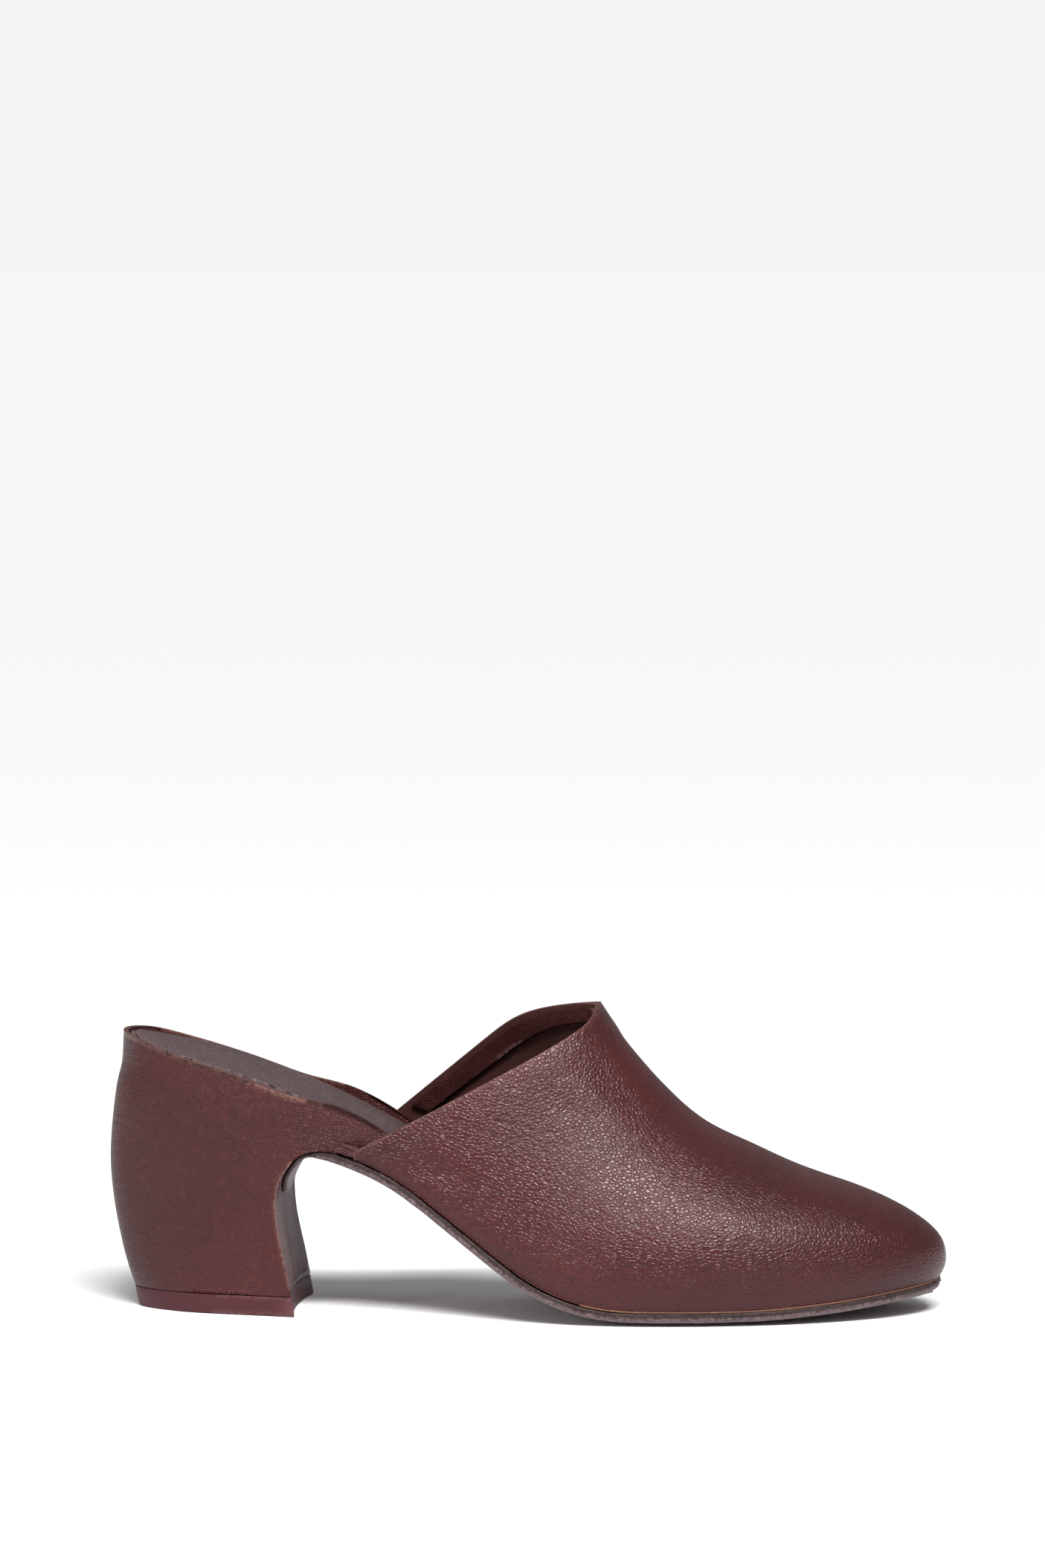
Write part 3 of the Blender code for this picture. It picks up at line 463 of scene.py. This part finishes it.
class NodeCopy:
    """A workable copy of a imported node: merged, mostly quads, with its panels split at its folds."""

    def __init__(self, node: str, fold_angle: float = 42.0) -> None:
        """Copy a node's mesh.

        Args:
            node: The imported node's name.
            fold_angle: Angle in degrees from which an edge counts as a fold.
        """
        self.node = node
        self.bm = bmesh.new()
        self.bm.from_mesh(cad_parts[node].data)
        for face in self.bm.faces:
            face.smooth = True
            face.material_index = 0
        bmesh.ops.remove_doubles(self.bm, verts=self.bm.verts, dist=0.000002)
        limit = math.radians(fold_angle)
        self.folds = self.bm.edges.layers.float.new("crease_edge")
        for edge in self.bm.edges:
            edge[self.folds] = 1.0 if edge.calc_face_angle(0.0) > limit else 0.0
        flat = [edge for edge in self.bm.edges if edge[self.folds] < 0.5]
        bmesh.ops.join_triangles(
            self.bm, faces=list({face for edge in flat for face in edge.link_faces}),
            angle_face_threshold=math.radians(26.0), angle_shape_threshold=math.radians(120.0))

    def panel_at(self, point: Point) -> list[bmesh.types.BMFace]:
        """Collect the faces of the panel nearest a point, out to its folds.

        Args:
            point: A place near the panel.

        Returns:
            The panel's faces.
        """
        target = Vector(point)
        first = min(self.bm.faces, key=lambda face: (face.calc_center_median() - target).length)
        found = {first}
        queue = [first]
        while queue:
            for edge in queue.pop().edges:
                if edge[self.folds] > 0.5:
                    continue
                for face in edge.link_faces:
                    if face not in found:
                        found.add(face)
                        queue.append(face)
        return list(found)

    def paint(self, faces: Iterable[bmesh.types.BMFace], panel: Panel) -> None:
        """Give faces a material place."""
        for face in faces:
            face.material_index = panel.value

    def smooth(self, levels: int) -> None:
        """Round the copy with a subdivision surface that keeps its folds.

        Args:
            levels: Number of subdivisions.
        """
        mesh = bpy.data.meshes.new("cage")
        self.bm.to_mesh(mesh)
        cage = bpy.data.objects.new("cage", mesh)
        bpy.context.scene.collection.objects.link(cage)
        rounder = cage.modifiers.new("rounder", "SUBSURF")
        rounder.levels = levels
        rounder.render_levels = levels
        rounder.boundary_smooth = "PRESERVE_CORNERS"
        depsgraph = bpy.context.evaluated_depsgraph_get()
        rounded = bpy.data.meshes.new_from_object(cage.evaluated_get(depsgraph))
        self.bm.clear()
        self.bm.from_mesh(rounded)
        self.folds = self.bm.edges.layers.float.get("crease_edge")
        bpy.data.objects.remove(cage)
        bpy.data.meshes.remove(rounded)

    def round_folds(self, radius: float, segments: int = 2,
                    chosen: Callable[[bmesh.types.BMEdge], bool] | None = None) -> None:
        """Round the folds that a test picks.

        Args:
            radius: Width of the round on each side of the fold.
            segments: Number of faces across the round.
            chosen: Test for an edge, or None for every fold.
        """
        edges = [
            edge for edge in self.bm.edges
            if edge[self.folds] > 0.5 and (chosen is None or chosen(edge))
        ]
        bmesh.ops.bevel(
            self.bm, geom=edges, offset=radius, offset_type="OFFSET", segments=segments, profile=0.5,
            affect="EDGES", clamp_overlap=True, material=-1, loop_slide=True)

    def press(self, offset: Callable[[bmesh.types.BMVert], float]) -> None:
        """Move each vertex along its normal.

        Args:
            offset: How far a vertex goes outwards, in metres.
        """
        self.bm.normal_update()
        moves = [(vert, vert.normal * offset(vert)) for vert in self.bm.verts]
        for vert, move in moves:
            vert.co += move

    def inset(self, panel: Panel, width: float, depth: float = 0.0) -> None:
        """Shrink a panel away from its outline, and sink or raise it.

        Args:
            panel: The panel, whose old outline band keeps its material place.
            width: How far its outline moves in.
            depth: How far it goes outwards.
        """
        faces = [face for face in self.bm.faces if face.material_index == panel.value]
        bmesh.ops.inset_region(
            self.bm, faces=faces, thickness=width, depth=depth, use_even_offset=False, use_boundary=True)

    def frame_panel(self, panel: Panel, margin: float, groove: float, band: Panel, rise: float = 0.0) -> None:
        """Set a panel in from its outline, behind a narrow groove.

        Args:
            panel: The panel.
            margin: Width of the band that stays outside the groove.
            groove: The groove's width, and its depth.
            band: The material place that the band takes.
            rise: How far the panel stands above the band.
        """
        before = {face for face in self.bm.faces if face.material_index == panel.value}
        self.inset(panel, margin)
        for face in self.bm.faces:
            if face.material_index == panel.value and face not in before:
                face.material_index = band.value
        self.inset(panel, groove * 0.5, -groove)
        self.inset(panel, groove * 0.5, groove + rise)

    def at_fold(self, vert: bmesh.types.BMVert) -> bool:
        """Tell whether a vertex lies on a fold."""
        return any(edge[self.folds] > 0.5 for edge in vert.link_edges)

    def fade(self, mark: Mark, seeds: Callable[[bmesh.types.BMVert], bool], reach: float) -> None:
        """Write a vertex attribute: 1 at the seeds, fading over a distance.

        Args:
            mark: The attribute.
            seeds: Test for the vertices on the edge.
            reach: Distance over which it fades, in metres.
        """
        name = mark.value
        layer = self.bm.verts.layers.float.get(name) or self.bm.verts.layers.float.new(name)
        near = [vert.co.copy() for vert in self.bm.verts if seeds(vert)]
        tree = kdtree.KDTree(len(near))
        for index, place in enumerate(near):
            tree.insert(place, index)
        tree.balance()
        for vert in self.bm.verts:
            distance = tree.find(vert.co)[2] if near else None
            if distance is not None:
                vert[layer] = max(vert[layer], math.exp(-((distance / reach) ** 2)))

    def finish(self, name: str, materials: list[bpy.types.Material], slot: str) -> bpy.types.Object:
        """Make the copy a piece that stands for its node.

        Args:
            name: The piece's name.
            materials: One for each material place.
            slot: A material slot's name; not used.

        Returns:
            The piece.
        """
        mesh = bpy.data.meshes.new(name)
        for face in self.bm.faces:
            face.smooth = True
        self.bm.to_mesh(mesh)
        self.bm.free()
        piece = bpy.data.objects.new(name, mesh)
        bpy.context.scene.collection.objects.link(piece)
        for material in materials:
            mesh.materials.append(material)
        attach(piece, "root")
        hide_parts(self.node)
        LOG.info("%s: %d faces", name, len(mesh.polygons))
        return piece


def walk(edges: Iterable[bmesh.types.BMEdge]) -> list[bmesh.types.BMVert]:
    """Put the vertices of the longest chain of edges in order.

    Args:
        edges: Edges that join end to end.

    Returns:
        The chain's vertices, from one end to the other.
    """
    left = set(edges)
    chains = []
    while left:
        first = left.pop()
        chain = [first.verts[0], first.verts[1]]
        for _ in range(2):
            while True:
                following = next((edge for edge in chain[-1].link_edges if edge in left), None)
                if following is None:
                    break
                left.discard(following)
                chain.append(following.other_vert(chain[-1]))
            chain.reverse()
        chains.append(chain)
    return max(chains, key=len)


def rolled_line(name: str, points: list[Vector], radius: float, material: bpy.types.Material) -> bpy.types.Object:
    """Lay a thin round line, such as a thread or a bead, along points.

    Args:
        name: The piece's name.
        points: The points that it follows.
        radius: Its radius.
        material: Its material.

    Returns:
        The piece.
    """
    data = bpy.data.curves.new(name, "CURVE")
    data.dimensions = "3D"
    data.bevel_depth = radius
    data.bevel_resolution = 2
    data.use_fill_caps = True
    spline = data.splines.new("POLY")
    spline.points.add(len(points) - 1)
    for point, place in zip(spline.points, points):
        point.co = (*place, 1.0)
    route = bpy.data.objects.new(name, data)
    bpy.context.scene.collection.objects.link(route)
    mesh = bpy.data.meshes.new_from_object(route.evaluated_get(bpy.context.evaluated_depsgraph_get()))
    bpy.data.objects.remove(route)
    mesh.name = name
    mesh.shade_smooth()
    mesh.materials.clear()
    mesh.materials.append(material)
    piece = bpy.data.objects.new(name, mesh)
    bpy.context.scene.collection.objects.link(piece)
    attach(piece, "root")
    LOG.info("%s: %d faces", name, len(mesh.polygons))
    return piece


@dataclass
class Upper:
    """The one-piece vamp: outside leather, rolled collar edge, lining, and its creases."""

    wave: float = 0.00016
    rim_round: float = 0.00075
    wrinkle_reach: float = 0.007
    welt_radius: float = 0.00028
    welt_out: float = 0.0002
    welt_start: float = 0.108
    creases: tuple[Crease, ...] = (
        Crease(Side.OUTER, (0.40, 0.80), (0.48, 0.66), 0.00042, 0.0028),
        Crease(Side.OUTER, (0.33, 0.72), (0.40, 0.60), 0.00036, 0.0024),
        Crease(Side.OUTER, (0.10, 0.50), (0.20, 0.43), 0.00036, 0.0030),
        Crease(Side.OUTER, (0.56, 0.62), (0.66, 0.50), 0.00014, 0.0040),
        Crease(Side.INNER, (0.24, 0.74), (0.38, 0.56), 0.00026, 0.0032),
        Crease(Side.INNER, (0.34, 0.80), (0.46, 0.62), 0.00022, 0.0028),
        Crease(Side.INNER, (0.56, 0.60), (0.66, 0.48), 0.00014, 0.0040),
    )

    def crease_offset(self, place: Vector, normal: Vector, low: Vector, size: Vector) -> float:
        """Add up the troughs and ridges at a point.

        Args:
            place: The point.
            normal: The surface's normal there.
            low: The upper's lowest corner.
            size: The upper's size.

        Returns:
            How far the surface moves outwards.
        """
        total = 0.0
        for crease in self.creases:
            facing = normal.y * crease.side.value
            if facing <= 0.05:
                continue
            start = Vector((low.x + crease.start[0] * size.x, 0.0, low.z + crease.start[1] * size.z))
            end = Vector((low.x + crease.end[0] * size.x, 0.0, low.z + crease.end[1] * size.z))
            flat = Vector((place.x, 0.0, place.z))
            run = end - start
            share = min(max((flat - start).dot(run) / run.length_squared, 0.0), 1.0)
            away = (flat - (start + run * share)).length / crease.width
            fade = math.sin(math.pi * min(max(share, 0.02), 0.98)) ** 0.6
            ridge = math.exp(-((away - 1.9) ** 2)) * 0.45
            total += crease.depth * fade * (ridge - math.exp(-(away ** 2)))
        return total

    def build(self, workshop: Workshop) -> list[bpy.types.Object]:
        """Build the upper and the thread line at its foot.

        Args:
            workshop: The shared node groups.

        Returns:
            The pieces.
        """
        copy = NodeCopy("upper", 55.0)
        low, high = (Vector(corner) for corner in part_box("upper"))
        size = high - low
        middle = low + size / 2
        copy.paint(copy.bm.faces, Panel.EDGE)
        outside = copy.panel_at((middle.x, low.y, middle.z * 0.6))
        inside = copy.panel_at((middle.x, low.y + 0.004, middle.z * 0.5))
        if set(outside) & set(inside):
            LOG.warning("the upper's inside and outside are one panel")
        copy.paint(outside, Panel.FACE)
        copy.paint(inside, Panel.BACK)
        copy.smooth(2)
        foot = self.foot_line(copy)
        # Painted highlight: a broken lighter line along the collar's rolled edge.
        copy.fade(Mark.RUB_AND_HIGHLIGHT, self.on_rim, 0.0009)
        copy.fade(Mark.WRINKLE, self.on_rim, self.wrinkle_reach)
        copy.round_folds(self.rim_round, 3)
        copy.press(lambda vert: self.relief(vert, low, size))
        leather = OXBLOOD.material(workshop)
        pieces = [copy.finish("vamp", [leather, LINING.material(workshop), leather], "upper_leather")]
        pieces.append(rolled_line("welt_line", foot, self.welt_radius, WELT_THREAD.material(workshop)))
        return pieces

    def foot_line(self, copy: NodeCopy) -> list[Vector]:
        """Follow the outside's lower edge round the toe, between the places on each side where the thread starts.

        Args:
            copy: The upper's copy.

        Returns:
            The points, a little outside the edge.
        """
        edges = []
        for edge in copy.bm.edges:
            kinds = {face.material_index for face in edge.link_faces}
            if kinds == {Panel.FACE.value, Panel.EDGE.value}:
                under = next(face for face in edge.link_faces if face.material_index == Panel.EDGE.value)
                if under.normal.z < -0.6:
                    edges.append(edge)
        points = []
        for vert in walk(edges):
            if vert.co.x < self.welt_start:
                continue
            face = next(face for face in vert.link_faces if face.material_index == Panel.FACE.value)
            out = Vector((face.normal.x, face.normal.y, 0.0)).normalized()
            points.append(vert.co + out * self.welt_out + Vector((0.0, 0.0, self.welt_radius * 0.5)))
        return points

    def on_rim(self, vert: bmesh.types.BMVert) -> bool:
        """Tell whether a vertex is on the collar's edge."""
        return any(face.material_index == Panel.EDGE.value and face.normal.z > -0.3 for face in vert.link_faces)

    def relief(self, vert: bmesh.types.BMVert, low: Vector, size: Vector) -> float:
        """Return the creases and the hand-lasted unevenness at a vertex.

        Args:
            vert: The vertex.
            low: The upper's lowest corner.
            size: The upper's size.

        Returns:
            How far it moves outwards.
        """
        if any(face.material_index != Panel.FACE.value for face in vert.link_faces):
            return 0.0
        uneven = noise.noise(vert.co * 55.0) * self.wave + noise.noise(vert.co * 130.0) * self.wave * 0.35
        return uneven + self.crease_offset(vert.co, vert.normal, low, size)


@dataclass
class CollarFacing:
    """The strip of leather inside the collar, with its cut lower edge."""

    wave: float = 0.00016
    ragged: float = 0.00045
    drawn_up: float = 0.5
    probe: float = 0.0022
    rub_and_highlight_reach: float = 0.0007

    def narrow(self, copy: NodeCopy) -> None:
        """Draw the strip's lower edge up towards the collar.

        Args:
            copy: The facing's copy, still unsmoothed.
        """
        copy.bm.verts.index_update()
        cut = self.cut_edge(copy)
        moves = []
        for vert in copy.bm.verts:
            if vert.index in cut:
                back = min((edge.other_vert(vert) for edge in vert.link_edges), key=lambda other: other.co.x)
                if back.index not in cut:
                    moves.append((vert, vert.co.lerp(back.co, self.drawn_up)))
        for vert, place in moves:
            vert.co = place

    def cut_edge(self, copy: NodeCopy) -> set[int]:
        """Find the strip's lower edge, which nothing of the strip lies ahead of.

        Args:
            copy: The facing's copy.

        Returns:
            The numbers of its vertices.
        """
        tree = kdtree.KDTree(len(copy.bm.verts))
        for vert in copy.bm.verts:
            tree.insert(vert.co, vert.index)
        tree.balance()
        found = set()
        for vert in copy.bm.verts:
            ahead = (near for near, _, _ in tree.find_range(vert.co, self.probe) if near.x > vert.co.x + self.probe * 0.6)
            if copy.at_fold(vert) and not any(ahead):
                found.add(vert.index)
        return found

    def build(self, workshop: Workshop) -> bpy.types.Object:
        """Build the facing.

        Args:
            workshop: The shared node groups.

        Returns:
            The piece.
        """
        copy = NodeCopy("collar_facing", 50.0)
        self.narrow(copy)
        copy.smooth(2)
        copy.bm.verts.index_update()
        cut = self.cut_edge(copy)
        for vert in copy.bm.verts:
            if vert.index in cut:
                vert.co.x += noise.noise(vert.co * 420.0) * self.ragged
        copy.fade(Mark.RUB_AND_HIGHLIGHT, lambda vert: vert.index in cut, self.rub_and_highlight_reach)
        copy.fade(Mark.WRINKLE, lambda vert: True, 0.01)
        copy.round_folds(0.0002, 2)
        copy.press(lambda vert: noise.noise(vert.co * 260.0) * self.wave)
        return copy.finish("facing", [FACING.material(workshop)], "facing_leather")


@dataclass
class Sole:
    """The thin leather sole with its two-tone dressed edge and the flap on the heel's front."""

    fold_angle: float = 40.0
    strip_rise: float = 0.0036
    edge_round: float = 0.00018
    dye_reach: float = 0.0021
    dents: float = 0.00008

    def build(self, workshop: Workshop) -> bpy.types.Object:
        """Build the sole.

        Args:
            workshop: The shared node groups.

        Returns:
            The piece.
        """
        copy = NodeCopy("outsole", self.fold_angle)
        low, high = (Vector(corner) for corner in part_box("outsole"))
        middle = (low + high) / 2
        strip = copy.panel_at((middle.x + 0.02, low.y, self.strip_rise))
        tread = copy.panel_at((middle.x + 0.02, middle.y, low.z))
        LOG.info("sole: %d strip faces, %d tread faces of %d", len(strip), len(tread), len(copy.bm.faces))
        copy.paint(tread, Panel.BACK)
        copy.paint(strip, Panel.EDGE)
        copy.smooth(2)
        copy.fade(Mark.RUB_AND_HIGHLIGHT, self.on_strip, self.dye_reach)
        copy.round_folds(self.edge_round, 2)
        copy.press(lambda vert: noise.noise(vert.co * 280.0) * self.dents)
        return copy.finish(
            "sole", [SOLE_EDGE.material(workshop), SOLE_TREAD.material(workshop), SOLE_STRIP.material(workshop)],
            "sole_leather")

    def on_strip(self, vert: bmesh.types.BMVert) -> bool:
        """Tell whether a vertex is on the strip's outline."""
        return any(face.material_index == Panel.EDGE.value for face in vert.link_faces)


@dataclass
class Heel:
    """The covered block heel: its cover, the seamed panel on its front, and the rubber tip."""

    band: float = 0.0014
    groove: float = 0.0003
    seam_half: float = 0.00035
    seam_depth: float = 0.0003
    rim_round: float = 0.0006
    wave: float = 0.00014
    rub_and_highlight_reach: float = 0.0005
    highlight_end: float = 0.034

    def build(self, workshop: Workshop) -> list[bpy.types.Object]:
        """Build the heel's cover and its tip.

        Args:
            workshop: The shared node groups.

        Returns:
            The pieces.
        """
        copy = NodeCopy("heel", 46.0)
        low, high = (Vector(corner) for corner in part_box("heel_tip"))
        front = copy.panel_at((high.x, 0.0, high.z + 0.01))
        copy.paint(front, Panel.BACK)
        copy.frame_panel(Panel.BACK, self.band, self.groove, Panel.FACE)
        copy.smooth(2)
        # Painted highlight: a broken tan line along the rolled rim and the front edges.
        copy.fade(Mark.RUB_AND_HIGHLIGHT, lambda vert: copy.at_fold(vert) and self.on_painted_highlight(vert, high), self.rub_and_highlight_reach)
        copy.round_folds(self.rim_round, 3)
        self.sew(copy)
        copy.press(lambda vert: noise.noise(vert.co * 60.0) * self.wave)
        cover = copy.finish("heel_cover", [HEEL_COVER.material(workshop), BREAST.material(workshop)], "heel_leather")
        rubber = NodeCopy("heel_tip", 40.0)
        rubber.smooth(2)
        rubber.fade(Mark.RUB_AND_HIGHLIGHT, lambda vert: rubber.at_fold(vert) and vert.co.x > 0.0, self.rub_and_highlight_reach)
        rubber.round_folds(0.0003, 2)
        tip = rubber.finish("top_piece", [TIP_RUBBER.material(workshop)], "tip_rubber")
        return [cover, tip]

    def on_painted_highlight(self, vert: bmesh.types.BMVert, tip: Vector) -> bool:
        """Tell whether a vertex is on the painted highlight: the cover's rolled rim and its front edges."""
        on_front = tip.z + 0.003 < vert.co.z < 0.046 and vert.co.x < tip.x + 0.002
        return on_front or (vert.co.z > 0.055 and vert.co.x < self.highlight_end and vert.normal.z > -0.2)

    def sew(self, copy: NodeCopy) -> None:
        """Press the seam down the middle of the front panel.

        Args:
            copy: The heel's copy.
        """
        for place in (-self.seam_half, 0.0, self.seam_half):
            faces = [face for face in copy.bm.faces if face.material_index == Panel.BACK.value]
            edges = {edge for face in faces for edge in face.edges}
            verts = {vert for face in faces for vert in face.verts}
            bmesh.ops.bisect_plane(
                copy.bm, geom=[*verts, *edges, *faces], dist=0.00001, plane_co=(0.0, place, 0.0),
                plane_no=(0.0, 1.0, 0.0))
        copy.bm.normal_update()
        for vert in copy.bm.verts:
            if abs(vert.co.y) < 0.00002 and all(f.material_index == Panel.BACK.value for f in vert.link_faces):
                vert.co -= vert.normal * self.seam_depth


@dataclass
class Footbed:
    """The wrapped insole, and the crowned sock that lies on it with a rounded edge."""

    narrow: float = 0.905
    shorten: float = 0.93
    lift: float = 0.00045
    thickness: float = 0.0011
    edge_round: float = 0.0004
    wave: float = 0.0002

    def build(self, workshop: Workshop) -> list[bpy.types.Object]:
        """Build the insole and its sock.

        Args:
            workshop: The shared node groups.

        Returns:
            The pieces.
        """
        copy = NodeCopy("footbed", 40.0)
        low, high = (Vector(corner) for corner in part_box("footbed"))
        copy.paint(copy.panel_at((low.x + 0.02, 0.0, high.z + 0.01)), Panel.BACK)
        copy.smooth(2)
        pad = self.lay_sock(copy)
        copy.fade(Mark.RUB_AND_HIGHLIGHT, copy.at_fold, 0.0008)
        copy.round_folds(0.0003, 2)
        leather = SOCK.material(workshop)
        insole = copy.finish("insole", [leather, leather], "footbed_leather")
        sock = pad.finish("sock", [leather, leather], "footbed_leather")
        return [insole, sock]

    def lay_sock(self, insole: NodeCopy) -> NodeCopy:
        """Cut the sock from the insole's top, draw it in from the edges and give it its thickness.

        Args:
            insole: The insole's copy.

        Returns:
            The sock's copy.
        """
        ground = BVHTree.FromBMesh(insole.bm)
        pad = NodeCopy("footbed", 40.0)
        pad.bm.clear()
        mesh = bpy.data.meshes.new("insole_top")
        insole.bm.to_mesh(mesh)
        pad.bm.from_mesh(mesh)
        bpy.data.meshes.remove(mesh)
        pad.folds = pad.bm.edges.layers.float.get("crease_edge")
        rest = [face for face in pad.bm.faces if face.material_index != Panel.BACK.value]
        bmesh.ops.delete(pad.bm, geom=rest, context="FACES")
        for vert in pad.bm.verts:
            x = vert.co.x * (self.shorten if vert.co.x < 0.0 else 1.0)
            y = vert.co.y * self.narrow
            hit = ground.ray_cast(Vector((x, y, 0.2)), Vector((0.0, 0.0, -1.0)))[0]
            uneven = noise.noise(Vector((x, y, 0.0)) * 70.0) * self.wave
            vert.co = Vector((x, y, (hit.z if hit else vert.co.z) + self.lift + uneven))
        top = list(pad.bm.faces)
        walls = bmesh.ops.extrude_face_region(pad.bm, geom=top)
        valley_shaded = [item for item in walls["geom"] if isinstance(item, bmesh.types.BMVert)]
        bmesh.ops.translate(pad.bm, verts=valley_shaded, vec=(0.0, 0.0, -self.thickness))
        bmesh.ops.recalc_face_normals(pad.bm, faces=pad.bm.faces)
        for edge in pad.bm.edges:
            edge[pad.folds] = 1.0 if edge.calc_face_angle(0.0) > math.radians(50.0) else 0.0
        pad.fade(Mark.RUB_AND_HIGHLIGHT, lambda vert: pad.at_fold(vert) and vert.normal.z > 0.0, 0.0008)
        pad.round_folds(self.edge_round, 3)
        return pad


# Studio


@dataclass
class Studio:
    """The pale floor, the soft lights and the camera at the photo's angle."""

    azimuth: float = 5.0
    elevation: float = 7.2
    distance: float = 2.2
    pixels_per_metre: float = 4592.0
    aim: Point = (0.091532, -0.012495, 0.045)
    aim_pixel: tuple[float, float] = (708.0, 1563.0)
    frame_pixels: tuple[float, float] = (1405.0, 2109.0)
    sensor: float = 36.0
    room_light: float = 0.30
    room_seen: float = 0.905
    key_power: float = 2.9
    key_spread: float = 26.0
    key_from: Point = (0.26, -0.70, 0.95)
    floor_size: float = 40.0
    floor_shade: Colour = (0.90, 0.90, 0.905)
    softboxes: tuple[tuple[str, Point, tuple[float, float], float], ...] = (
        ("top_softbox", (0.20, -0.66, 0.88), (0.85, 0.13), 11.0),
        ("left_softbox", (-1.05, -1.05, 0.38), (0.22, 0.75), 4.0),
    )

    def camera(self) -> bpy.types.Object:
        """Set the camera where the photo's was.

        Returns:
            The camera.
        """
        azimuth = math.radians(self.azimuth)
        elevation = math.radians(self.elevation)
        back = Vector((
            math.sin(azimuth) * math.cos(elevation), -math.cos(azimuth) * math.cos(elevation), math.sin(elevation)))
        target = Vector(self.aim)
        place = target + back * self.distance
        right = (-back).cross(Vector((0.0, 0.0, 1.0))).normalized()
        up = right.cross(-back)
        across = (self.frame_pixels[0] / 2 - self.aim_pixel[0]) / self.pixels_per_metre
        rise = (self.aim_pixel[1] - self.frame_pixels[1] / 2) / self.pixels_per_metre
        middle = target + right * across + up * rise
        data = bpy.data.cameras.new("camera")
        data.sensor_fit = "HORIZONTAL"
        data.sensor_width = self.sensor
        data.lens = self.pixels_per_metre * self.distance / self.frame_pixels[0] * self.sensor
        camera = bpy.data.objects.new("camera", data)
        camera.location = place
        camera.rotation_euler = (middle - place).to_track_quat("-Z", "Y").to_euler()
        bpy.context.scene.collection.objects.link(camera)
        bpy.context.scene.camera = camera
        return camera

    def softbox(self, name: str, place: Point, target: Point, size: tuple[float, float], power: float) -> None:
        """Hang a rectangular soft light.

        Args:
            name: The light's name.
            place: Where it hangs.
            target: What it points at.
            size: Its width and height.
            power: Its power in watts.
        """
        data = bpy.data.lights.new(name, "AREA")
        data.shape = "RECTANGLE"
        data.size, data.size_y = size
        data.energy = power
        light = bpy.data.objects.new(name, data)
        light.location = place
        light.rotation_euler = (Vector(target) - Vector(place)).to_track_quat("-Z", "Y").to_euler()
        bpy.context.scene.collection.objects.link(light)

    def lights(self) -> None:
        """Light the shoe and the white room."""
        world = bpy.data.worlds.new("white_room")
        world.use_nodes = True
        tree = world.node_tree
        seen = add_node(tree, "LightPath").outputs["Is Camera Ray"]
        strength = add_node(tree, "MapRange", {0: seen, 1: 0.0, 2: 1.0, 3: self.room_light, 4: self.room_seen}).outputs[0]
        background = tree.nodes["Background"]
        background.inputs["Color"].default_value = (1.0, 1.0, 1.0, 1.0)
        tree.links.new(strength, background.inputs["Strength"])
        bpy.context.scene.world = world
        data = bpy.data.lights.new("broad_key", "SUN")
        data.energy = self.key_power
        data.angle = math.radians(self.key_spread)
        key = bpy.data.objects.new("broad_key", data)
        key.rotation_euler = (-Vector(self.key_from)).to_track_quat("-Z", "Y").to_euler()
        bpy.context.scene.collection.objects.link(key)
        for name, place, size, power in self.softboxes:
            self.softbox(name, place, self.aim, size, power)
        bpy.context.scene.view_settings.view_transform = "Standard"

    def floor(self) -> bpy.types.Object:
        """Lay the pale floor.

        Returns:
            The floor.
        """
        bm = bmesh.new()
        bmesh.ops.create_grid(bm, x_segments=1, y_segments=1, size=self.floor_size)
        mesh = bpy.data.meshes.new("floor")
        bm.to_mesh(mesh)
        bm.free()
        floor = bpy.data.objects.new("floor", mesh)
        bpy.context.scene.collection.objects.link(floor)
        material = bpy.data.materials.new("pale_floor")
        material.use_nodes = True
        shader = material.node_tree.nodes["Principled BSDF"]
        shader.inputs["Base Color"].default_value = (*self.floor_shade, 1.0)
        shader.inputs["Roughness"].default_value = 0.9
        shader.inputs["Specular IOR Level"].default_value = 0.0
        mesh.materials.append(material)
        return floor


def main() -> None:
    """Build the shoe and its studio."""
    logging.basicConfig(level=logging.INFO, format="%(name)s: %(message)s")
    workshop = Workshop()
    studio = Studio()
    studio.camera()
    studio.lights()
    studio.floor()
    Upper().build(workshop)
    CollarFacing().build(workshop)
    Sole().build(workshop)
    Heel().build(workshop)
    Footbed().build(workshop)


if __name__ == "__main__":
    main()
